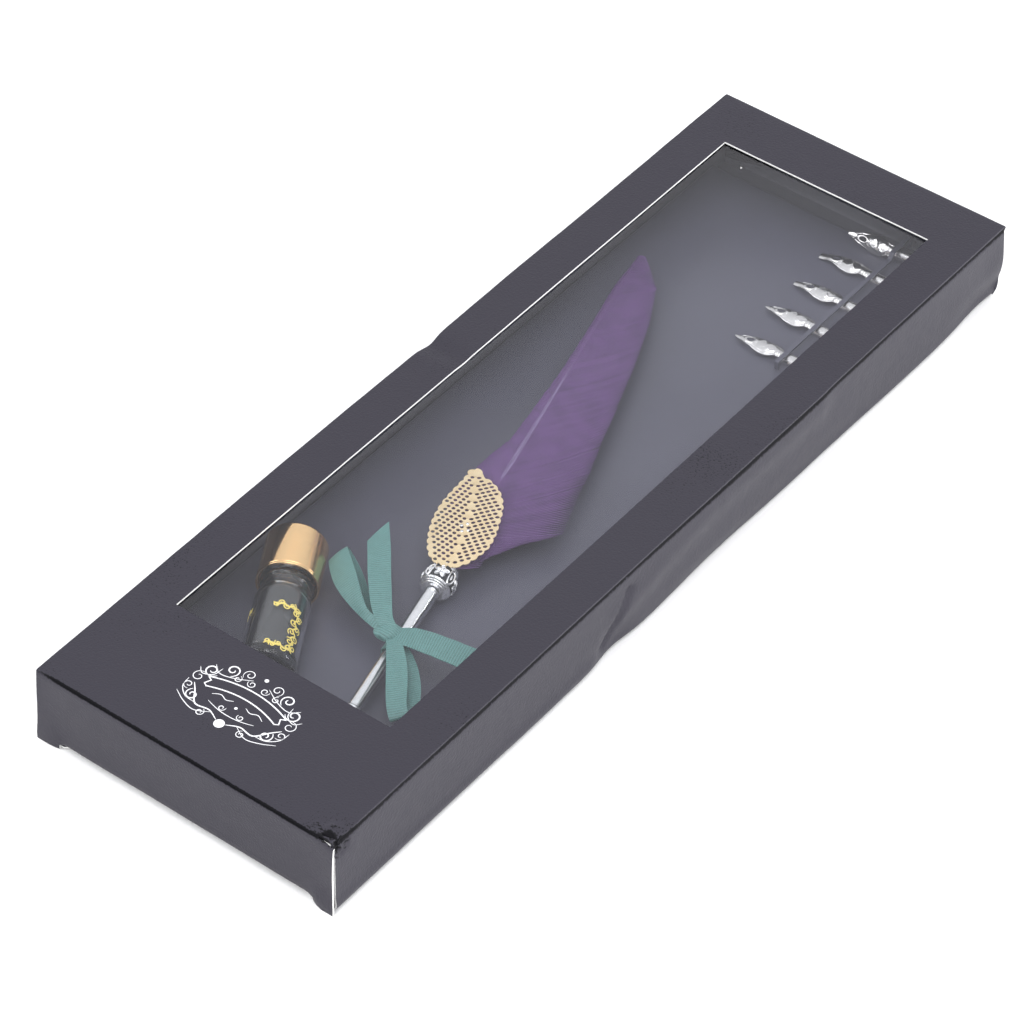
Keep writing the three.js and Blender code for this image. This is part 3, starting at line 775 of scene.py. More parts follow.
def window_film():
    """The film, slightly slack, so that its reflections wander."""
    level = (FILM_LOW.z + FILM_HIGH.z) / 2
    columns = stops(FILM_LOW.x, FILM_HIGH.x, 3.0)
    rows = stops(FILM_LOW.y, FILM_HIGH.y, 3.0)
    points = []
    for y in rows:
        for x in columns:
            edge = min(x - FILM_LOW.x, FILM_HIGH.x - x, y - FILM_LOW.y, FILM_HIGH.y - y)
            slack = clamped((edge - FILM_OVERLAP) / 12)
            wave = noise.noise(Vector((x * 0.03, y * 0.018, 4))) * 0.32
            ripple = noise.noise(Vector((x * 0.12, y * 0.05, 9))) * 0.03
            points.append((x, y, level + slack * (wave + ripple - 0.1)))
    faces = grid_faces(len(rows), len(columns))
    film = make_piece("window_film_sheet", points, faces, ["film"], "set")
    thicken(film, 0.12, 0.0)
    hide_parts("window_film")


def insert_tray():
    """A formed sheet draped over its deck, with a soft edge and a skirt."""
    low, high = box_mm("insert_tray")
    deck = high.z
    end_clearance = 3.0

    def reach_profile(half):
        """Distance from the middle and drop below the deck, from the skirt's foot to the deck."""
        return [(half, 4.6), (half, 0.9), (half - 0.12, 0.45), (half - 0.45, 0.12), (half - 0.9, 0.0)]

    def line(half, spacing):
        rise = reach_profile(half)
        flat = stops(-(half - 0.9), half - 0.9, spacing)[1:-1]
        return [*[(-d, drop) for d, drop in rise], *[(d, 0.0) for d in flat], *rise[::-1]]

    across = line(high.x, 4.0)
    along = line(high.y, 4.0)
    points = []
    for y, drop_y in along:
        for x, drop_x in across:
            drop = max(drop_x, drop_y)
            wave = noise.noise(Vector((x * 0.03, y * 0.03, 2))) * 0.05 if drop == 0 else 0.0
            foot = end_clearance if abs(y) > high.y - 4.1 else low.z
            points.append((x, y, max(foot, deck - drop - abs(wave))))
    faces = grid_faces(len(along), len(across))
    tray = make_piece("formed_tray", points, faces, ["tray"], "set")
    thicken(tray, 0.45)
    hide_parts("insert_tray")


# ---------- turned pieces ----------
def turned_piece(name, profile, place, finish, body, around=96, relief=None, sharp=40):
    """A profile of (radius, y) turned about Y. It closes on itself, or starts and ends on the axis.

    relief(angle, y, radius) gives how far the surface stands out there, and how raised it is from 0 to 1.
    """
    on_axis = profile[0][0] < 1e-6 and profile[-1][0] < 1e-6
    loop = list(profile) if on_axis else [*profile, profile[0]]
    points, raised = [], []
    for radius, y in loop:
        for j in range(around):
            angle = 2 * math.pi * j / around
            out, height = relief(angle, y, radius) if relief and radius > 1e-6 else (0.0, 1.0)
            points.append(((radius + out) * math.sin(angle), y, (radius + out) * math.cos(angle)))
            raised.append(height)
    faces = grid_faces(len(loop), around, around=True)
    mesh = new_mesh(name, points, faces, [finish], place, ("raised", raised))
    with reworked(mesh) as work:
        bmesh.ops.remove_doubles(work, verts=work.verts, dist=0.000002)
        bmesh.ops.recalc_face_normals(work, faces=work.faces)
    piece = add_piece(name, mesh, body)
    mesh.set_sharp_from_angle(angle=math.radians(sharp))
    return piece


def finely(profile, spacing):
    """The same profile with points no further apart than spacing."""
    result = [Vector(profile[0])]
    for a, b in zip(profile, profile[1:]):
        a, b = Vector(a), Vector(b)
        result += [a + (b - a).normalized() * d for d in stops(0, max((b - a).length, 1e-6), spacing)[1:]]
    return result


# ---------- nibs ----------
NIB_LENGTH = 30
SHOULDER = 14.6  # the tail tube's front edge, from the tail
HOLE = {"middle": 24.7, "length": 1.4, "width": 0.7}
NIB_TIPS = {"pointed": 0.22, "square": 0.95, "chisel": 1.45}  # half width at the tip
NIB_RADIUS = [
    (0, 2.1), (13.6, 2.1), (SHOULDER, 2.12), (17, 2.9), (19.6, 3.35), (23, 3.1), (26, 2.7), (NIB_LENGTH, 2.4),
]  # distance from the tail, and the radius the sheet is rolled to
NIB_DROP = [(0, 0), (13.6, 0), (17, 0.5), (20, 0.7), (23, 0.8), (26, 1.05), (NIB_LENGTH, 1.5)]
NIB_BODY = [
    (13.8, 2.0), (SHOULDER + 1.0, 2.0), (17.4, 3.1), (19.4, 3.85), (21.5, 3.5), (24, 2.4), (26.5, 1.55),
]  # distance from the tail, and half the sheet's width past the shoulder


def nib_half_width(d, tip):
    """Half the sheet's width, measured round its curve."""
    if d < 13.8:
        return 3.35
    return curve_value([*NIB_BODY, (NIB_LENGTH, tip)], d)


def nib_relief(d, across, half):
    """Stamped work on the nib's face: a rim, an S-shaped swirl, a leaf and neck lines."""
    share = across / half
    height = 0.0
    if SHOULDER < d < 28:
        height += 0.2 * ridge(abs(share) - 0.88, 0.12)
    if 15.8 < d < 22.6:
        t = (d - 15.8) / 6.8
        swirl = 1.7 * math.sin(2 * math.pi * t) * math.sin(math.pi * t) ** 0.5
        height += 0.24 * ridge(across - swirl, 0.3) * math.sin(math.pi * t) ** 0.5
        height += 0.16 * ridge(across + swirl * 0.9, 0.24) * math.sin(math.pi * t)
        height -= 0.15 * ridge(share, 0.75)
    for line in (14.9, 15.4, 15.9):
        height += 0.14 * ridge(d - line, 0.16)
    rim = math.hypot((d - HOLE["middle"]) / (HOLE["length"] + 0.35), across / (HOLE["width"] + 0.35))
    height += 0.14 * ridge(rim - 1, 0.35)
    return height


def nib_piece(node, tip_style, place):
    """A stamped steel nib: a half-round tail, shoulders, a breather hole, a slit and a shaped tip."""
    tip = NIB_TIPS[tip_style]
    columns = [*[-1 + k / 15 for k in range(15)], -0.012, 0.012, *[(k + 1) / 15 for k in range(15)]]
    lengths = stops(0, 13.4, 0.9) + stops(13.6, NIB_LENGTH, 0.21)
    points = []
    for d in lengths:
        half = nib_half_width(d, tip)
        radius = curve_value(NIB_RADIUS, d)
        drop = curve_value(NIB_DROP, d)
        for share in columns:
            across = share * half
            angle = across / radius
            out = radius + nib_relief(d, across, half)
            points.append((out * math.sin(angle), -d, out * math.cos(angle) - drop))

    def cut(i, j):
        d = (lengths[i] + lengths[i + 1]) / 2
        across = (columns[j] + columns[j + 1]) / 2 * nib_half_width(d, tip)
        in_hole = math.hypot((d - HOLE["middle"]) / HOLE["length"], across / HOLE["width"]) < 1
        in_slit = d > HOLE["middle"] and abs(columns[j] + columns[j + 1]) < 0.02 and tip_style != "chisel"
        return in_hole or in_slit

    faces = grid_faces(len(lengths), len(columns), cut, flip=True)
    nib = make_piece(f"{node}_steel", points, faces, ["steel"], node, place=place)
    thicken(nib, 0.24, -1.0, sharp=50)
    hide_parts(node)


def spare_nibs():
    deck = box_mm("insert_tray")[1].z
    for i, ((x, y, roll), style) in enumerate(zip(NIB_SPOTS, NIB_STYLES)):
        lift = 1.7 if roll else 0
        spot = Vector((NIB_TAIL_X + x, FIRST_NIB_Y + i * NIB_PITCH + y, deck + 0.35 + lift))
        place = (
            Matrix.Translation(spot)
            @ Matrix.Rotation(NIB_TURN, 4, "Z")
            @ Matrix.Rotation(math.radians(roll), 4, "Y")
        )
        nib_piece(f"spare_nib_{i + 1}", style, place)


def nib_strap():
    """The dark strap over the nibs' tails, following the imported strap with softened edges."""
    low, high = box_mm("nib_strap")
    deck = low.z
    thick = 0.45
    step = FIRST_NIB_Y + 3.5 * NIB_PITCH
    bar = high.z - 1.9
    side = [(low.y, deck), (low.y, bar), (step, bar), (step + 1.2, high.z), (high.y, high.z), (high.y, deck)]
    path = eased(side, [0, 0.8, 0.5, 0.5, 0.8, 0], 3)
    inside = [
        (low.y + thick, deck), (low.y + thick, bar - thick), (step + 0.2, bar - thick),
        (step + 1.4, high.z - thick), (high.y - thick, high.z - thick), (high.y - thick, deck),
    ]
    ring = path + eased(inside, [0, 0.5, 0.4, 0.4, 0.5, 0], 3)[::-1]
    rows = [low.x, low.x + 0.15, high.x - 0.15, high.x]
    points = [(x, p.x, p.y) for x in rows for p in ring]
    faces = grid_faces(len(rows), len(ring), around=True)
    count = len(ring)
    half = len(path)
    for row in (0, len(rows) - 1):
        for k in range(half - 1):
            start, stop = row * count, row * count + count - 1
            quad = (start + k, start + k + 1, stop - 1 - k, stop - k)
            faces.append(quad if row else quad[::-1])
    strap = make_piece("nib_strap_band", points, faces, ["tray"], "set")
    settle(strap, 35)
    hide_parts("nib_strap")


# ---------- pen ----------
BEAD_LENGTH = 9.3
BEAD_RADIUS = 4.8


def flower_relief(angle, y, radius):
    """The bead's cast work: four flowers of five petals, crossing arches between them and plain rings."""
    band = (1.9, 7.3)
    if not band[0] < y < band[1]:
        return 0.0, 1.0
    quarter = math.pi / 2
    middle = (band[0] + band[1]) / 2
    turn = (angle + quarter / 2 - 0.15) % quarter - quarter / 2
    s, t = turn * radius, y - middle
    height = 0.0
    for k in range(5):
        petal = math.radians(72 * k + 90)
        along = s * math.cos(petal) + t * math.sin(petal)
        across = -s * math.sin(petal) + t * math.cos(petal)
        height = max(height, 0.4 * ridge(math.hypot((along - 1.35) / 1.05, across / 0.85), 1.0))
        if 0 < along < 2.3:
            height = max(height, 0.62 * ridge(across - 0.55 * math.sin(1.4 * along), 0.26))
    side = quarter * radius / 2
    for centre in (-side, side):
        arch = math.hypot((s - centre) / 1.0, t / 2.6)
        height = max(height, 0.5 * ridge((arch - 1) * 1.4, 0.3))
        height = max(height, 0.4 * ridge(math.hypot((s - centre) / 0.4, t / 1.3), 1.0))
    return height - 0.25, min(1.0, height / 0.3)


def ferrule_bead():
    r = BEAD_RADIUS
    outside = [
        (1.9, 0.15), (r - 1.5, 0.15), (r - 1.15, 0.4), (r - 1.35, 0.62), (r - 0.75, 0.88), (r - 0.95, 1.1),
        (r - 0.3, 1.38), (r - 0.55, 1.65), (r - 0.2, 1.9), (r, 4.0), (r - 0.4, 6.2), (r - 0.95, 7.4),
        (r - 0.7, 7.65), (r - 1.1, 7.95), (r - 0.85, 8.3), (r - 1.3, 8.7), (r - 1.6, BEAD_LENGTH),
        (1.9, BEAD_LENGTH),
    ]
    rings = finely(eased(outside, 0.16, 3), 0.12)
    bead = turned_piece(
        "ferrule_bead_cast", rings, METAL, "silver", "set", 224, flower_relief, 60
    )
    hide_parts("ferrule_bead")


def pen_shaft():
    end = -SHAFT_LENGTH
    profile = [
        (0, 4), (1.55, 4), (1.55, -0.15), (2.1, -0.15), (2.1, -4), (2.05, end + 2.5), (2.42, end + 2.1),
        (2.42, end + 1.5), (2.2, end + 1.2), (2.45, end + 0.9), (2.45, end + 0.1), (1.2, end), (1.2, end + 8),
        (0, end + 8),
    ]
    rounded = eased(profile, 0.22, 3)
    shaft = turned_piece("pen_shaft_chrome", rounded, METAL, "chrome", "set")
    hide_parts("pen_shaft")


def nib_holder():
    top = -SHAFT_LENGTH - 0.3
    end = top - 8
    profile = [
        (0, top + 7), (0.88, top + 7), (0.88, top), (2.8, top), (2.8, top - 1.2), (2.6, top - 1.5),
        (2.8, top - 1.8), (2.8, end + 0.5), (2.62, end), (2.4, end), (2.4, top - 1), (0, top - 1),
    ]
    rounded = eased(profile, 0.18, 3)
    holder = turned_piece("nib_holder_chrome", rounded, METAL, "chrome", "set", 80)
    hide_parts("nib_holder")


def pen_nib():
    place = METAL @ Matrix.Translation((0, -SHAFT_LENGTH - 1.6, 0))
    nib_piece("pen_nib", "pointed", place)


# ---------- feather ----------
QUILL = {"start": 5.6, "end": 151, "bend": 6.2, "base": 1.5, "tip": 0.3}
VANE_HEIGHT = 2.35
VANE_RIGHT = [
    (16.8, 8.2), (25.8, 14.4), (33, 21.6), (35, 22.6), (41, 21.8), (50.6, 20.3), (61.5, 19.1), (75.8, 16.6),
    (87, 15.2), (107.4, 12), (126, 8.3), (140.6, 3.9), (149, -2.0), (154, -6.2),
]  # distance along the pen, and how far out the vane reaches
VANE_LEFT = [
    (14, -5.4), (24, -8.9), (36, -10.9), (49, -10.1), (55.5, -8.6), (63.4, -6.5), (82, -6.2), (98.6, -5.9),
    (123.8, -6.9), (137, -7.6), (154, -6.5),
]


def quill_x(y):
    share = max(0.0, (y - QUILL["start"]) / (QUILL["end"] - QUILL["start"]))
    return -QUILL["bend"] * min(1.0, share) ** 1.2


def straight_value(stations, x):
    """Straight-line values of (x, value) stations."""
    if x <= stations[0][0]:
        return stations[0][1]
    for (x0, v0), (x1, v1) in zip(stations, stations[1:]):
        if x <= x1:
            return v0 + (v1 - v0) * (x - x0) / (x1 - x0)
    return stations[-1][1]


def vane_height(share, y):
    """The vane's camber: it droops towards its edges and lifts a little at the tip."""
    return VANE_HEIGHT - 0.9 * share**2 + 0.5 * max(0.0, y / 154 - 0.75)


def feather_vane():
    """Hundreds of barbs, each a thin curved strip from the quill to the outline, laid like shingles."""
    rng = random.Random(11)
    count, steps = 300, 9
    points, faces, tones = [], [], []
    for side, outline, sweep in ((1, VANE_RIGHT, 1.22), (-1, VANE_LEFT, 1.5)):
        clump, last_tip = 0.0, 12.0
        for k in range(count):
            root_y = 7.5 + 143 * (k / (count - 1)) ** 0.97
            root = Vector((quill_x(root_y), root_y))
            tip_y = root_y + 4
            for _ in range(8):
                reach = abs(straight_value(outline, tip_y) - root.x)
                tip_y = min(154.0, root_y + sweep * reach * (0.62 + 0.38 * min(1, reach / 14)))
            tip_y = min(tip_y, last_tip + 0.85)
            last_tip = tip_y
            if rng.random() < 0.05:
                clump = rng.uniform(-0.35, 0.25)
            clump *= 0.93
            tip = Vector((straight_value(outline, tip_y) + side * (clump + rng.uniform(-0.12, 0.12)), tip_y))
            bow = (tip - root).length * 0.035
            tone = 0.35 + rng.uniform(-0.14, 0.14)
            first = len(points)
            for step in range(steps + 1):
                t = step / steps
                along = (tip - root).normalized()
                normal = Vector((along.y, -along.x)) * side
                middle = root + (tip - root) * t + normal * bow * math.sin(math.pi * t)
                half = 0.42 * (1 - 0.75 * t**4)
                height = vane_height(t, middle.y)
                low, high = middle - normal * half * side, middle + normal * half * side
                points.append((low.x, low.y, height - 0.06))
                points.append((high.x, high.y, height + 0.06))
                tones += [tone, tone]
            for step in range(steps):
                a = first + 2 * step
                faces.append((a, a + 1, a + 3, a + 2))
    mesh = new_mesh("feather_barbs", points, faces, ["barbs"], PEN, ("tone", tones))
    turned_down = [polygon.index for polygon in mesh.polygons if polygon.normal.z < 0]
    with reworked(mesh) as work:
        work.faces.ensure_lookup_table()
        bmesh.ops.reverse_faces(work, faces=[work.faces[i] for i in turned_down])
    vane = add_piece("feather_barbs", mesh, "set")
    thicken(vane, 0.05, 0.0)
    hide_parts("feather_vane")


def feather_quill():
    """The quill tapers, bends and has a shallow groove along its upper side."""
    stations, around = 90, 20
    points = []
    for i in range(stations + 1):
        t = i / stations
        y = QUILL["start"] + (QUILL["end"] - QUILL["start"]) * t
        radius = QUILL["base"] + (QUILL["tip"] - QUILL["base"]) * t**0.9
        for j in range(around):
            angle = 2 * math.pi * j / around
            groove = 0.14 * math.exp(-((min(angle, 2 * math.pi - angle) / 0.35) ** 2))
            r = radius * (1 - groove)
            height = 0.9 + 1.15 * min(1.0, t * 3) + r * math.cos(angle) * (0.55 if t > 0.1 else 1)
            points.append((quill_x(y) + r * math.sin(angle) * 0.8, y, height))
    faces = grid_faces(stations + 1, around, around=True)
    faces.append(tuple(range(around)))
    faces.append(tuple(stations * around + j for j in range(around))[::-1])
    quill = make_piece("feather_quill_horn", points, faces, ["quill"], "set", place=PEN)
    settle(quill, 50)
    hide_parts("feather_quill")


# ---------- pierced leaf ----------
LEAF = {"foot": (1.2, 6.5, 4.0), "length": 38, "lean": math.radians(14.6)}
LEAF_PLACE = PEN @ Matrix.Translation(LEAF["foot"]) @ Matrix.Rotation(LEAF["lean"], 4, "Z")
LEAF_OUTLINE = [
    (1.6, 0.2), (4.9, 2.6), (7.0, 5.4), (9.2, 9.6), (10.1, 14.6), (10.3, 19.6), (10.2, 24.6), (9.5, 28.6),
    (7.6, 32.6), (4.6, 35.6), (2.6, 36.6), (2.3, 38.2), (0.7, 39.3), (-1.0, 38.4), (-1.3, 36.6),
    (-2.4, 33.4), (-4.4, 28.6), (-5.9, 24.4), (-6.9, 19.6), (-7.2, 14.4), (-6.8, 9.6), (-5.9, 5.4),
    (-4.2, 2.3), (-1.6, 0.9),
]
LEAF_SCALLOP = 2.75  # from one scallop to the next
LEAF_ROW = 1.72
LEAF_HOLE_PITCH = 1.5
LEAF_RIVETS = [(0.9, 16.2), (2.4, 17.0), (1.4, 13.9), (3.0, 14.6)]


def leaf_rib(y):
    """How far to the right the leaf's midrib stands."""
    return 0.6 + 1.5 * math.sin(math.pi * clamped(y / LEAF["length"])) ** 0.8


def leaf_dome(x, y):
    across = (x - leaf_rib(y)) / 9.5
    along = (y - LEAF["length"] / 2) / (LEAF["length"] / 2)
    rib = 0.16 * math.exp(-((across * 9.5 / 0.7) ** 2))
    return 0.9 * (1 - min(1.0, across**2)) * (1 - 0.6 * min(1.0, along**2)) + rib


def leaf_edge():
    """The scalloped outline, as points spaced evenly along it."""
    smooth = smooth_path([*LEAF_OUTLINE, LEAF_OUTLINE[0]], 10)
    edge, walked = [], 0.0
    for a, b in zip(smooth, smooth[1:]):
        step = b - a
        outward = Vector((step.y, -step.x)).normalized()
        bump = 0.66 * abs(math.sin(math.pi * walked / LEAF_SCALLOP)) ** 0.65
        edge.append(a + outward * bump)
        walked += step.length
    return edge


def inside_outline(spot, outline, margin):
    """Whether a spot is inside an outline and at least margin from its edge."""
    within = False
    for a, b in zip(outline, [*outline[1:], outline[0]]):
        if (a.y > spot.y) != (b.y > spot.y) and spot.x < a.x + (b.x - a.x) * (spot.y - a.y) / (b.y - a.y):
            within = not within
        if (a - spot).length < margin:
            return False
    return within


def leaf_holes(edge):
    """Ovals in rows that sweep up and out from the midrib, longer on the leaf's right half."""
    holes = []
    for row in range(-4, 24):
        for side in (-1, 1):
            for column in range(8):
                out = 0.95 + LEAF_HOLE_PITCH * (column + (0.5 if row % 2 else 0.0))
                sweep = (0.75 if side > 0 else 0.6) * (1 - 0.012 * row)
                y = 1.2 + row * LEAF_ROW + out * sweep
                spot = Vector((leaf_rib(y) + side * out, y))
                if not inside_outline(spot, edge, 0.8):
                    continue
                along = Vector((side, sweep)).normalized()
                across = Vector((-along.y, along.x))
                half = (0.68, 0.45) if side > 0 else (0.6, 0.49)
                holes.append([
                    spot + along * half[0] * math.cos(turn) + across * half[1] * math.sin(turn)
                    for turn in [2 * math.pi * k / 12 for k in range(12)]
                ])
    return holes


def filigree_leaf():
    edge = leaf_edge()
    flat, rings = list(edge), [range(len(edge))]
    for hole in leaf_holes(edge):
        rings.append(range(len(flat), len(flat) + len(hole)))
        flat += hole
    borders = [(ring[k - 1], ring[k]) for ring in rings for k in range(len(ring))]
    owner = {index: number for number, ring in enumerate(rings) for index in ring}
    spots, _, triangles, sources, _, _ = geometry.delaunay_2d_cdt(flat, borders, [], 1, 0.0001)
    owners = [owner[source[0]] for source in sources]
    faces = []
    for triangle in triangles:
        a, b, c = (owners[corner] for corner in triangle)
        if not (a == b == c and a > 0):
            faces.append(tuple(triangle))
    points = [(spot.x, spot.y, leaf_dome(spot.x, spot.y)) for spot in spots]
    leaf = make_piece(
        "filigree_leaf_sheet", points, faces, ["pale_gold"], "set", place=LEAF_PLACE
    )
    thicken(leaf, 0.3, sharp=50)
    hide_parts("filigree_leaf")


def leaf_rivets():
    """Four round heads that hold the leaf's midrib."""
    profile = [(0, 0.16), (0.3, 0.12), (0.45, 0.02), (0.45, -0.2), (0, -0.2)]
    upright = Matrix.Rotation(math.radians(90), 4, "X")
    for number, (x, y) in enumerate(LEAF_RIVETS):
        spot = LEAF_PLACE @ Matrix.Translation((x, y, leaf_dome(x, y))) @ upright
        turned_piece(f"leaf_rivet_{number + 1}", profile, spot, "chrome", "set", 20)


# ---------- ribbon ----------
RIBBON_WIDTH = 6.4
# Each strip is a row of stations: one edge (x, y, height) and the other, measured from the knot. The
# heights are above the table.
TAIL_LEFT = [
    ((-2.8, -1.0, 15.2), (1.4, -0.4, 15.0)),
    ((-5.2, 0.6, 16.6), (-0.4, 1.9, 16.4)),
    ((-7.8, 2.8, 17.4), (-2.6, 4.2, 17.2)),
    ((-10.8, 7.0, 17.9), (-5.4, 9.4, 17.9)),
    ((-15.6, 15.3, 17.9), (-9.8, 17.8, 18.1)),
    ((-18.7, 21.4, 17.8), (-14.4, 26.8, 18.1)),
    ((-21.3, 26.4, 17.6), (-19.3, 35.6, 17.9)),
]
TAIL_RIGHT = [
    ((-1.6, 1.0, 14.9), (-0.8, -2.6, 14.9)),
    ((2.4, 2.8, 16.0), (2.6, -3.4, 15.9)),
    ((7.0, 3.3, 16.8), (8.0, -4.2, 16.7)),
    ((14.0, 3.3, 17.0), (14.6, -4.7, 16.9)),
    ((22.0, 3.1, 16.8), (22.2, -5.2, 16.8)),
    ((30.4, 2.6, 16.5), (27.6, -5.4, 16.5)),
]
LOOP_LEFT = [
    ((-2.4, -1.2, 14.8), (-2.0, 1.2, 15.6)),
    ((-6.6, -0.2, 15.2), (-5.8, 2.0, 16.6)),
    ((-11.4, 2.0, 15.3), (-9.9, 3.6, 17.4)),
    ((-17.3, 5.5, 15.2), (-14.2, 8.4, 18.2)),
    ((-22.3, 9.4, 15.0), (-18.2, 13.6, 18.3)),
    ((-25.7, 13.2, 14.9), (-21.6, 17.8, 18.0)),
    ((-28.1, 16.8, 14.9), (-24.8, 21.6, 17.6)),
    ((-28.7, 18.0, 14.2), (-25.5, 22.8, 16.8)),
    ((-27.9, 18.4, 13.0), (-24.8, 23.2, 15.6)),
    ((-23.2, 15.2, 12.2), (-20.2, 19.6, 14.6)),
    ((-18.0, 10.6, 12.0), (-15.9, 15.0, 14.3)),
    ((-13.2, 6.4, 12.4), (-12.4, 10.4, 14.2)),
    ((-8.4, 2.4, 13.2), (-8.4, 5.4, 14.4)),
    ((-3.0, -0.4, 13.9), (-2.6, 1.6, 14.6)),
]
LOOP_RIGHT = [
    ((-2.2, -0.8, 14.6), (1.0, -0.6, 14.8)),
    ((-0.8, -3.2, 15.6), (3.4, -2.6, 16.2)),
    ((1.6, -8.0, 16.2), (6.6, -6.8, 17.0)),
    ((4.7, -14.4, 16.4), (10.0, -12.2, 17.2)),
    ((7.8, -20.8, 16.3), (12.8, -17.9, 17.1)),
    ((10.4, -25.6, 15.8), (15.0, -22.9, 16.6)),
    ((12.4, -28.2, 14.8), (16.8, -25.2, 15.6)),
    ((13.0, -28.0, 13.6), (17.6, -24.8, 14.4)),
    ((12.2, -25.0, 12.8), (17.6, -21.4, 13.8)),
    ((10.4, -19.4, 12.6), (15.4, -15.2, 13.8)),
    ((7.6, -13.2, 12.8), (12.2, -9.6, 13.9)),
    ((5.0, -7.6, 13.2), (8.2, -4.8, 14.2)),
    ((0.4, -1.4, 13.8), (2.2, 0.4, 14.4)),
]


def ribbon_map(mesh, coordinate):
    """Gives each corner its coordinates along and across the ribbon, by its point's number."""
    layer = mesh.uv_layers.new(name="ribbon")
    for loop in mesh.loops:
        layer.data[loop.index].uv = coordinate(loop.vertex_index)


def ribbon_strip(node, stations):
    """A ribbon lofted between its two edges, with coordinates along and across it for the ribs."""
    one = smooth_path([a for a, _ in stations], 9)
    two = smooth_path([b for _, b in stations], 9)
    columns = 8
    lengths = [0.0]
    for k in range(1, len(one)):
        step = ((one[k] + two[k]) / 2 - (one[k - 1] + two[k - 1]) / 2).length
        lengths.append(lengths[-1] + step)
    points, coordinates = [], []
    for k, (a, b) in enumerate(zip(one, two)):
        normal = (b - a).cross((one[min(k + 1, len(one) - 1)] - one[max(k - 1, 0)])).normalized()
        for j in range(columns + 1):
            t = j / columns
            cup = 0.22 * math.sin(math.pi * t) + 0.05 * math.sin(lengths[k] * 1.1 + 5 * t)
            points.append(a + (b - a) * t + normal * cup)
            coordinates.append((lengths[k], t * RIBBON_WIDTH))
    faces = grid_faces(len(one), columns + 1)
    mesh = new_mesh(f"{node}_satin", points, faces, ["satin"], BOW)
    ribbon_map(mesh, lambda index: coordinates[index])
    strip = add_piece(f"{node}_satin", mesh, "set")
    thicken(strip, 0.28, 0.0)
    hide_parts(node)


def ribbon_knot():
    """The knot: a short pinched band across the bow, with folds running over it."""
    around, rows = 40, 26
    points = []
    for i in range(rows + 1):
        u = -1 + 2 * i / rows
        waist = math.sqrt(max(0.0, 1 - abs(u) ** 2.6))
        for j in range(around):
            angle = 2 * math.pi * j / around
            fold = 1 + 0.07 * math.sin(3 * angle + 2.2 * u) + 0.05 * math.sin(7 * angle)
            x = 3.5 * waist * math.cos(angle) * fold - 1.7
            z = 15.1 + 1.75 * waist * math.sin(angle) * fold
            points.append((x + 0.5 * u, 3.3 * u, z))
    faces = grid_faces(rows + 1, around, around=True)
    knot = make_piece("ribbon_knot_tied", points, faces, ["satin"], "set", place=BOW)
    corners = knot.data.vertices
    ribbon_map(knot.data, lambda index: (corners[index].co.y / MM, corners[index].co.x / MM))
    with reworked(knot.data) as work:
        bmesh.ops.recalc_face_normals(work, faces=work.faces)
    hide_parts("ribbon_knot")


def ribbon_wrap():
    """The turn of ribbon round the shaft, under the knot."""
    middle = METAL @ Matrix.Translation((0, KNOT_Y, 0))
    around, columns = 64, 8
    points = []
    for j in range(columns + 1):
        y = -3.1 + 6.2 * j / columns
        for k in range(around):
            angle = 2 * math.pi * k / around
            radius = 2.5 + 0.06 * math.sin(5 * angle + j) + 0.1 * math.sin(math.pi * j / columns)
            points.append((radius * math.sin(angle), y, radius * math.cos(angle)))
    faces = grid_faces(columns + 1, around, around=True)
    wrap = make_piece("ribbon_wrap_band", points, faces, ["satin"], "set", place=middle)

    def unrolled(index):
        spot = middle.inverted() @ (wrap.data.vertices[index].co / MM)
        return math.atan2(spot.x, spot.z) * 2.5, spot.y

    ribbon_map(wrap.data, unrolled)
    thicken(wrap, 0.25, 0.0)
    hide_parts("ribbon_wrap")


# ---------- ink bottle ----------
CAP_LENGTH = 16.6
CAP_RADIUS = 8.8
GLASS = {
    "lip": -2.5, "neck_end": -20.3, "shoulder": -22.7, "base": -49.7,  # along the bottle, from the cap's end
    "neck": 6.8, "body": 7.9, "wall": 1.1,  # radii and thickness
}
THREAD_PITCH = 2.4


def bottle_cap():
    """The cap, with a rounded end and a groove near its rim. It has no thread inside."""
    r, rim, wall = CAP_RADIUS, -CAP_LENGTH, 0.7
    profile = [
        (0, -0.25), (5.2, -0.25), (5.6, 0), (r - 0.9, 0), (r, -0.9), (r, rim + 0.9),
        (r - 0.12, rim + 0.75), (r, rim + 0.6), (r, rim),
        (r - wall, rim), (r - wall, -wall), (0, -wall),
    ]
    rounded = eased(profile, [0, 0.2, 0.2, 0.9, 0.9, 0.1, 0.1, 0.1, 0.25, 0.2, 0.3, 0], 5)
    cap = turned_piece("bottle_cap_gold", rounded, BOTTLE, "cap_gold", "cap", 160)
    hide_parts("bottle_cap")


def cap_liner():
    top = -0.7 - 0.3
    profile = eased([(0, top), (7, top), (7, top - 1.2), (0, top - 1.2)], [0, 0.3, 0.3, 0], 4)
    liner = turned_piece("cap_liner_foam", profile, BOTTLE, "foam", "cap_seal", 64)
    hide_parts("cap_liner")


def thread_relief(angle, y, radius):
    """The screw thread on the bottle's neck: nearly six turns of a rounded ridge."""
    first, last = GLASS["lip"] - 2.2, GLASS["neck_end"] + 1.6
    if radius < GLASS["neck"] - 0.4 or not last < y < first:
        return 0.0, 1.0
    phase = ((y - THREAD_PITCH * angle / (2 * math.pi)) / THREAD_PITCH) % 1.0
    fade = min(1.0, (first - y) / 0.6, (y - last) / 0.6)
    return 0.7 * max(0.0, math.cos(2 * math.pi * (phase - 0.5))) ** 1.5 * max(0.0, fade), 1.0


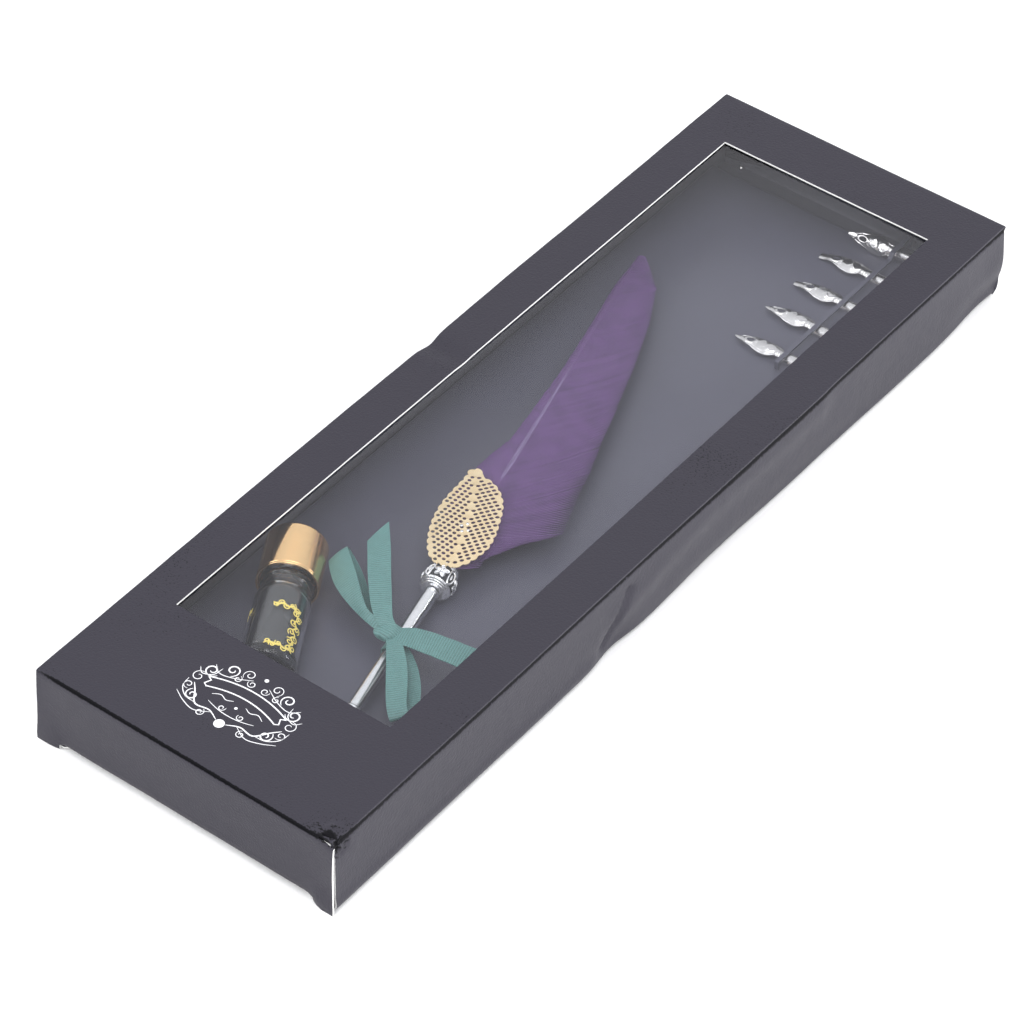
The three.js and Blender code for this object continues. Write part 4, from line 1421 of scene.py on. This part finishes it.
def bottle_glass_piece():
    g = GLASS
    inner_neck, inner_body = g["neck"] - g["wall"], g["body"] - g["wall"]
    profile = [
        (inner_neck, g["lip"]), (g["neck"], g["lip"]), (g["neck"], g["neck_end"]),
        (g["body"] - 0.3, g["shoulder"] + 0.3), (g["body"], g["shoulder"] - 1.2),
        (g["body"], g["base"] + 1.2), (g["body"] - 1.2, g["base"]),
        (4.5, g["base"]), (3.6, g["base"] + 0.6), (0, g["base"] + 0.9),
    ]
    outside = eased(profile, [0, 0.4, 0.8, 1.0, 1.0, 1.2, 1.2, 0.4, 0.4, 0], 5)
    inside = eased(
        [(0, g["base"] + 3.4), (inner_body - 0.8, g["base"] + 3.4), (inner_body, g["base"] + 4.4),
         (inner_body, g["shoulder"] - 1.0), (inner_neck, g["neck_end"] - 0.8), (inner_neck, g["lip"])],
        [0, 0.6, 0.6, 1.0, 1.0, 0.3], 5,
    )
    rings = finely([*outside, *inside], 0.3)
    # the outside starts at the lip's inner edge and ends on the axis, and the inside starts there
    axis = next(i for i, p in enumerate(rings) if p.x < 1e-6)
    loop = [*rings[axis + 1:], *rings[1:axis + 1]]
    glass = turned_piece(
        "bottle_glass_body", loop, BOTTLE, "glass", "set", 128, thread_relief, 50
    )
    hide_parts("bottle_glass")


def ink_fill():
    g = GLASS
    radius, neck = g["body"] - g["wall"] - 0.25, g["neck"] - g["wall"] - 0.25
    low = g["base"] + 3.7
    profile = [
        (0, low), (radius - 0.8, low), (radius, low + 1.0), (radius, g["shoulder"] - 1.4),
        (neck, g["neck_end"] - 1.2), (neck, g["neck_end"] + 3), (0, g["neck_end"] + 3),
    ]
    ink = turned_piece("ink_fill", eased(profile, 0.6, 4), BOTTLE, "ink", "set", 72)
    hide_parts("ink")


# ---------- printed ornament ----------
def spiral(centre, start, end, turns, facing, steps=26):
    """Points of a scroll that winds from radius start to radius end, leaving at an angle in degrees."""
    points = []
    for k in range(steps + 1):
        t = k / steps
        angle = math.radians(facing) + 2 * math.pi * turns * t
        radius = start + (end - start) * t**0.8
        points.append((centre[0] + radius * math.cos(angle), centre[1] + radius * math.sin(angle)))
    return points


def stroke(points, width, taper=0.35):
    """A flat stroke along a path as (left edge, right edge) pairs, thinner at its ends."""
    path = [Vector(p) for p in points]
    pairs = []
    for k, p in enumerate(path):
        along = (path[min(k + 1, len(path) - 1)] - path[max(k - 1, 0)]).normalized()
        t = k / (len(path) - 1)
        half = width / 2 * (taper + (1 - taper) * math.sin(math.pi * clamped(t)) ** 0.5)
        normal = Vector((-along.y, along.x)) * half
        pairs.append((p + normal, p - normal))
    return pairs


def disc(centre, radius, steps=20):
    """A round dot, as (right edge, left edge) pairs."""
    pairs = []
    for k in range(steps + 1):
        turn = math.pi * k / steps
        middle = Vector((centre[0], centre[1] + radius * math.cos(turn)))
        half = Vector((radius * math.sin(turn), 0))
        pairs.append((middle + half, middle - half))
    return pairs


def printed(name, strokes, lay, finish, thickness):
    """Strokes laid on a surface by lay(x, y), as thin raised foil."""
    points, faces = [], []
    for pairs in strokes:
        first = len(points)
        points += [lay(edge.x, edge.y) for pair in pairs for edge in pair]
        for k in range(len(pairs) - 1):
            a = first + 2 * k
            faces.append((a, a + 1, a + 3, a + 2))
    mark = make_piece(name, points, faces, [finish], "set")
    thicken(mark, thickness, 1.0)


def mirrored(strokes):
    """The strokes, and the same strokes on the other side of the middle line."""
    flipped = [[(Vector((-b.x, b.y)), Vector((-a.x, a.y))) for a, b in pairs] for pairs in strokes]
    return strokes + flipped


def arc_line(width, rise, y, steps=30):
    """A shallow arched line across the middle."""
    return [(width * u, y + rise * (1 - u * u)) for u in [2 * k / steps - 1 for k in range(steps + 1)]]


def carton_emblem():
    """A generic foil ornament near the plain end: an empty arched ribbon among scrolls, without words."""
    thin, bold = 0.26, 0.42
    half = [
        stroke(spiral((13.6, 6.4), 2.4, 0.6, 1.3, 200), bold),
        stroke(spiral((15.2, 2.6), 2.2, 0.5, -1.2, 120), thin),
        stroke(spiral((9.3, 9.6), 2.3, 0.5, -1.3, 250), bold),
        stroke(spiral((4.6, 10.9), 2.0, 0.45, 1.3, 300), thin),
        stroke(spiral((6.4, 7.9), 1.3, 0.35, 1.1, 90), thin),
        stroke(spiral((2.2, 8.6), 1.4, 0.4, -1.2, 20), thin),
        stroke(spiral((12.3, -3.6), 2.1, 0.5, -1.3, 60), bold),
        stroke(spiral((15.4, -1.2), 1.6, 0.4, 1.2, 240), thin),
        stroke(spiral((6.8, -7.2), 1.4, 0.4, 1.3, 100), thin),
        stroke(smooth_path([(2.6, 9.9), (7.0, 7.6), (11.4, 6.6), (14.2, 8.6)], 8), thin),
        stroke(smooth_path([(11.8, 8.4), (12.4, 5.4), (15.2, 4.0), (17.0, 5.6)], 8), thin),
        stroke(smooth_path([(1.6, -6.8), (5.2, -5.2), (9.6, -5.6), (12.6, -2.0), (14.6, 0.2)], 8), bold),
        stroke(smooth_path([(4.4, -5.6), (8.6, -7.6), (12.8, -6.6), (16.6, -4.6)], 8), thin),
        stroke(smooth_path([(9.8, -5.4), (13.4, -5.0), (16.2, -2.6), (16.8, 0.6)], 8), thin),
        stroke(smooth_path([(2.0, 1.0), (4.0, 0.2), (6.2, 0.9), (8.4, -0.2)], 8), thin),
        stroke(spiral((3.1, -2.6), 1.2, 0.3, 1.2, 150), thin),
        stroke([(13.0, 4.1), (11.6, 3.4), (12.4, 1.6), (11.2, 0.9)], bold, 0.9),
    ]
    middle = [
        stroke(arc_line(13.0, 2.6, 4.1), bold, 0.9),
        stroke(arc_line(11.4, 2.3, 1.0), bold, 0.9),
        stroke(arc_line(7.6, -1.4, -2.6), thin, 0.4),
        disc((0, -7.4), 1.5),
        disc((0, 12.0), 0.6),
        disc((0, -0.6), 0.45),
    ]
    turn = math.radians(0.5)
    centre = Vector((0.3, -133.2))

    def lay(x, y):
        spot = Vector((
            centre.x + x * math.cos(turn) - y * math.sin(turn),
            centre.y + x * math.sin(turn) + y * math.cos(turn),
            HEIGHT,
        ))
        spot = handled(spot)
        spot.z += 0.012
        return spot

    printed("foil_emblem", mirrored(half) + middle, lay, "white_foil", 0.03)


LABEL = {"middle": math.radians(-32), "half": math.radians(80), "far": -31.2, "near": -46.0, "arm": 8.4}


def bottle_frame():
    """The gold frame printed on the glass: a scrolled bracket on each side of an empty label."""
    side = LABEL["half"] * GLASS["body"]
    strokes = []
    for y, out in ((LABEL["far"], 1), (LABEL["near"], -1)):
        wave = [(side + 0.8 - LABEL["arm"] * k / 6, y + 0.4 * out * (-1) ** k) for k in range(7)]
        strokes.append(stroke(smooth_path(wave, 6), 0.55, 0.5))
        for k in range(5):
            centre = (side - 0.6 - 1.55 * k, y - 0.5 * out * (-1) ** k)
            strokes.append(stroke(spiral(centre, 1.25 - 0.1 * k, 0.3, 1.2 * (-1) ** k, 70 * k), 0.4, 0.7))
    height = LABEL["far"] - LABEL["near"]
    column = [(side + 0.6 * (-1) ** k, LABEL["near"] + height * k / 10) for k in range(11)]
    strokes.append(stroke(smooth_path(column, 5), 0.5, 0.7))
    for k in range(8):
        centre = (side + 0.8 * (-1) ** k, LABEL["near"] + height * (k + 0.8) / 8.6)
        strokes.append(stroke(spiral(centre, 1.3, 0.3, 1.3 * (-1) ** k, 90 + 50 * k), 0.4, 0.7))

    def lay(x, y):
        angle = x / GLASS["body"] + LABEL["middle"]
        radius = GLASS["body"] + 0.02
        return BOTTLE @ Vector((radius * math.sin(angle), y, radius * math.cos(angle)))

    printed("bottle_gold_frame", mirrored(strokes), lay, "gold_print", 0.04)


# ---------- camera, floor and light ----------
VIEW = {"azimuth": 36.64, "elevation": 43.47, "roll": 1.29, "distance": 1.2313}
AIM_OFFSET = (-0.00952, -0.00252)  # how far the camera stands beside the line to the origin, in metres
LENS = 154.56


def add_camera():
    azimuth = math.radians(VIEW["azimuth"])
    elevation = math.radians(VIEW["elevation"])
    roll = math.radians(VIEW["roll"])
    level = math.cos(elevation)
    back = Vector((math.sin(azimuth) * level, -math.cos(azimuth) * level, math.sin(elevation)))
    flat_right = (-back).cross(Vector((0, 0, 1))).normalized()
    flat_up = flat_right.cross(-back)
    right = flat_right * math.cos(roll) + flat_up * math.sin(roll)
    up = flat_up * math.cos(roll) - flat_right * math.sin(roll)
    camera = bpy.data.objects.new("camera", bpy.data.cameras.new("camera"))
    camera.data.lens = LENS
    camera.data.sensor_width = 36
    camera.data.clip_start, camera.data.clip_end = 0.05, 20
    turn = Matrix((right, up, back)).transposed().to_4x4()
    place = back * VIEW["distance"] + right * AIM_OFFSET[0] + up * AIM_OFFSET[1]
    camera.matrix_world = Matrix.Translation(place) @ turn
    bpy.context.scene.collection.objects.link(camera)
    bpy.context.scene.camera = camera


def add_floor():
    finish = Finish("floor", Roughness=0.9)
    finish.feed("Base Color", finish.ramp(finish.noise(2, 2), (0.92, 0.92, 0.92), (0.94, 0.94, 0.94)))
    mesh = bpy.data.meshes.new("floor")
    half, level = 5, -0.0003  # just under the carton
    corners = [(-half, -half, level), (half, -half, level), (half, half, level), (-half, half, level)]
    mesh.from_pydata(corners, [], [(0, 1, 2, 3)])
    mesh.materials.append(finish.material)
    floor = bpy.data.objects.new("floor", mesh)
    bpy.context.scene.collection.objects.link(floor)


def add_lamp(name, place, size, power, aim=(0, 0, 0)):
    lamp = bpy.data.lights.new(name, "AREA")
    lamp.shape = "RECTANGLE"
    lamp.size, lamp.size_y = size
    lamp.energy = power
    holder = bpy.data.objects.new(name, lamp)
    holder.location = place
    holder.rotation_mode = "QUATERNION"
    holder.rotation_quaternion = (Vector(aim) - Vector(place)).to_track_quat("-Z", "Y")
    bpy.context.scene.collection.objects.link(holder)


def add_light():
    world = bpy.data.worlds.new("studio")
    world.use_nodes = True
    background = world.node_tree.nodes["Background"]
    background.inputs["Color"].default_value = (0.97, 0.98, 1, 1)
    background.inputs["Strength"].default_value = 1.0
    bpy.context.scene.world = world
    add_lamp("softbox_over", (0.5, -0.4, 2.0), (1.6, 1.6), 16)
    add_lamp("softbox_front", (0.5, -1.7, 1.5), (1.4, 1.4), 14)
    add_lamp("softbox_right", (1.2, 1.0, 0.3), (0.8, 0.6), 20)
    add_lamp("softbox_left", (-1.4, -1.2, 1.3), (1.2, 1.2), 12)
    bpy.context.scene.view_settings.view_transform = "Standard"


carton_sleeve()
closure_panel("front", -1)
closure_panel("rear", 1)
carton_flaps()
window_film()
insert_tray()
spare_nibs()
nib_strap()
ferrule_bead()
pen_shaft()
nib_holder()
pen_nib()
feather_quill()
feather_vane()
filigree_leaf()
leaf_rivets()
ribbon_strip("ribbon_tail_left", TAIL_LEFT)
ribbon_strip("ribbon_tail_right", TAIL_RIGHT)
ribbon_strip("ribbon_loop_left", LOOP_LEFT)
ribbon_strip("ribbon_loop_right", LOOP_RIGHT)
ribbon_knot()
ribbon_wrap()
bottle_cap()
cap_liner()
bottle_glass_piece()
ink_fill()
bottle_frame()
carton_emblem()
add_floor()
add_light()
add_camera()
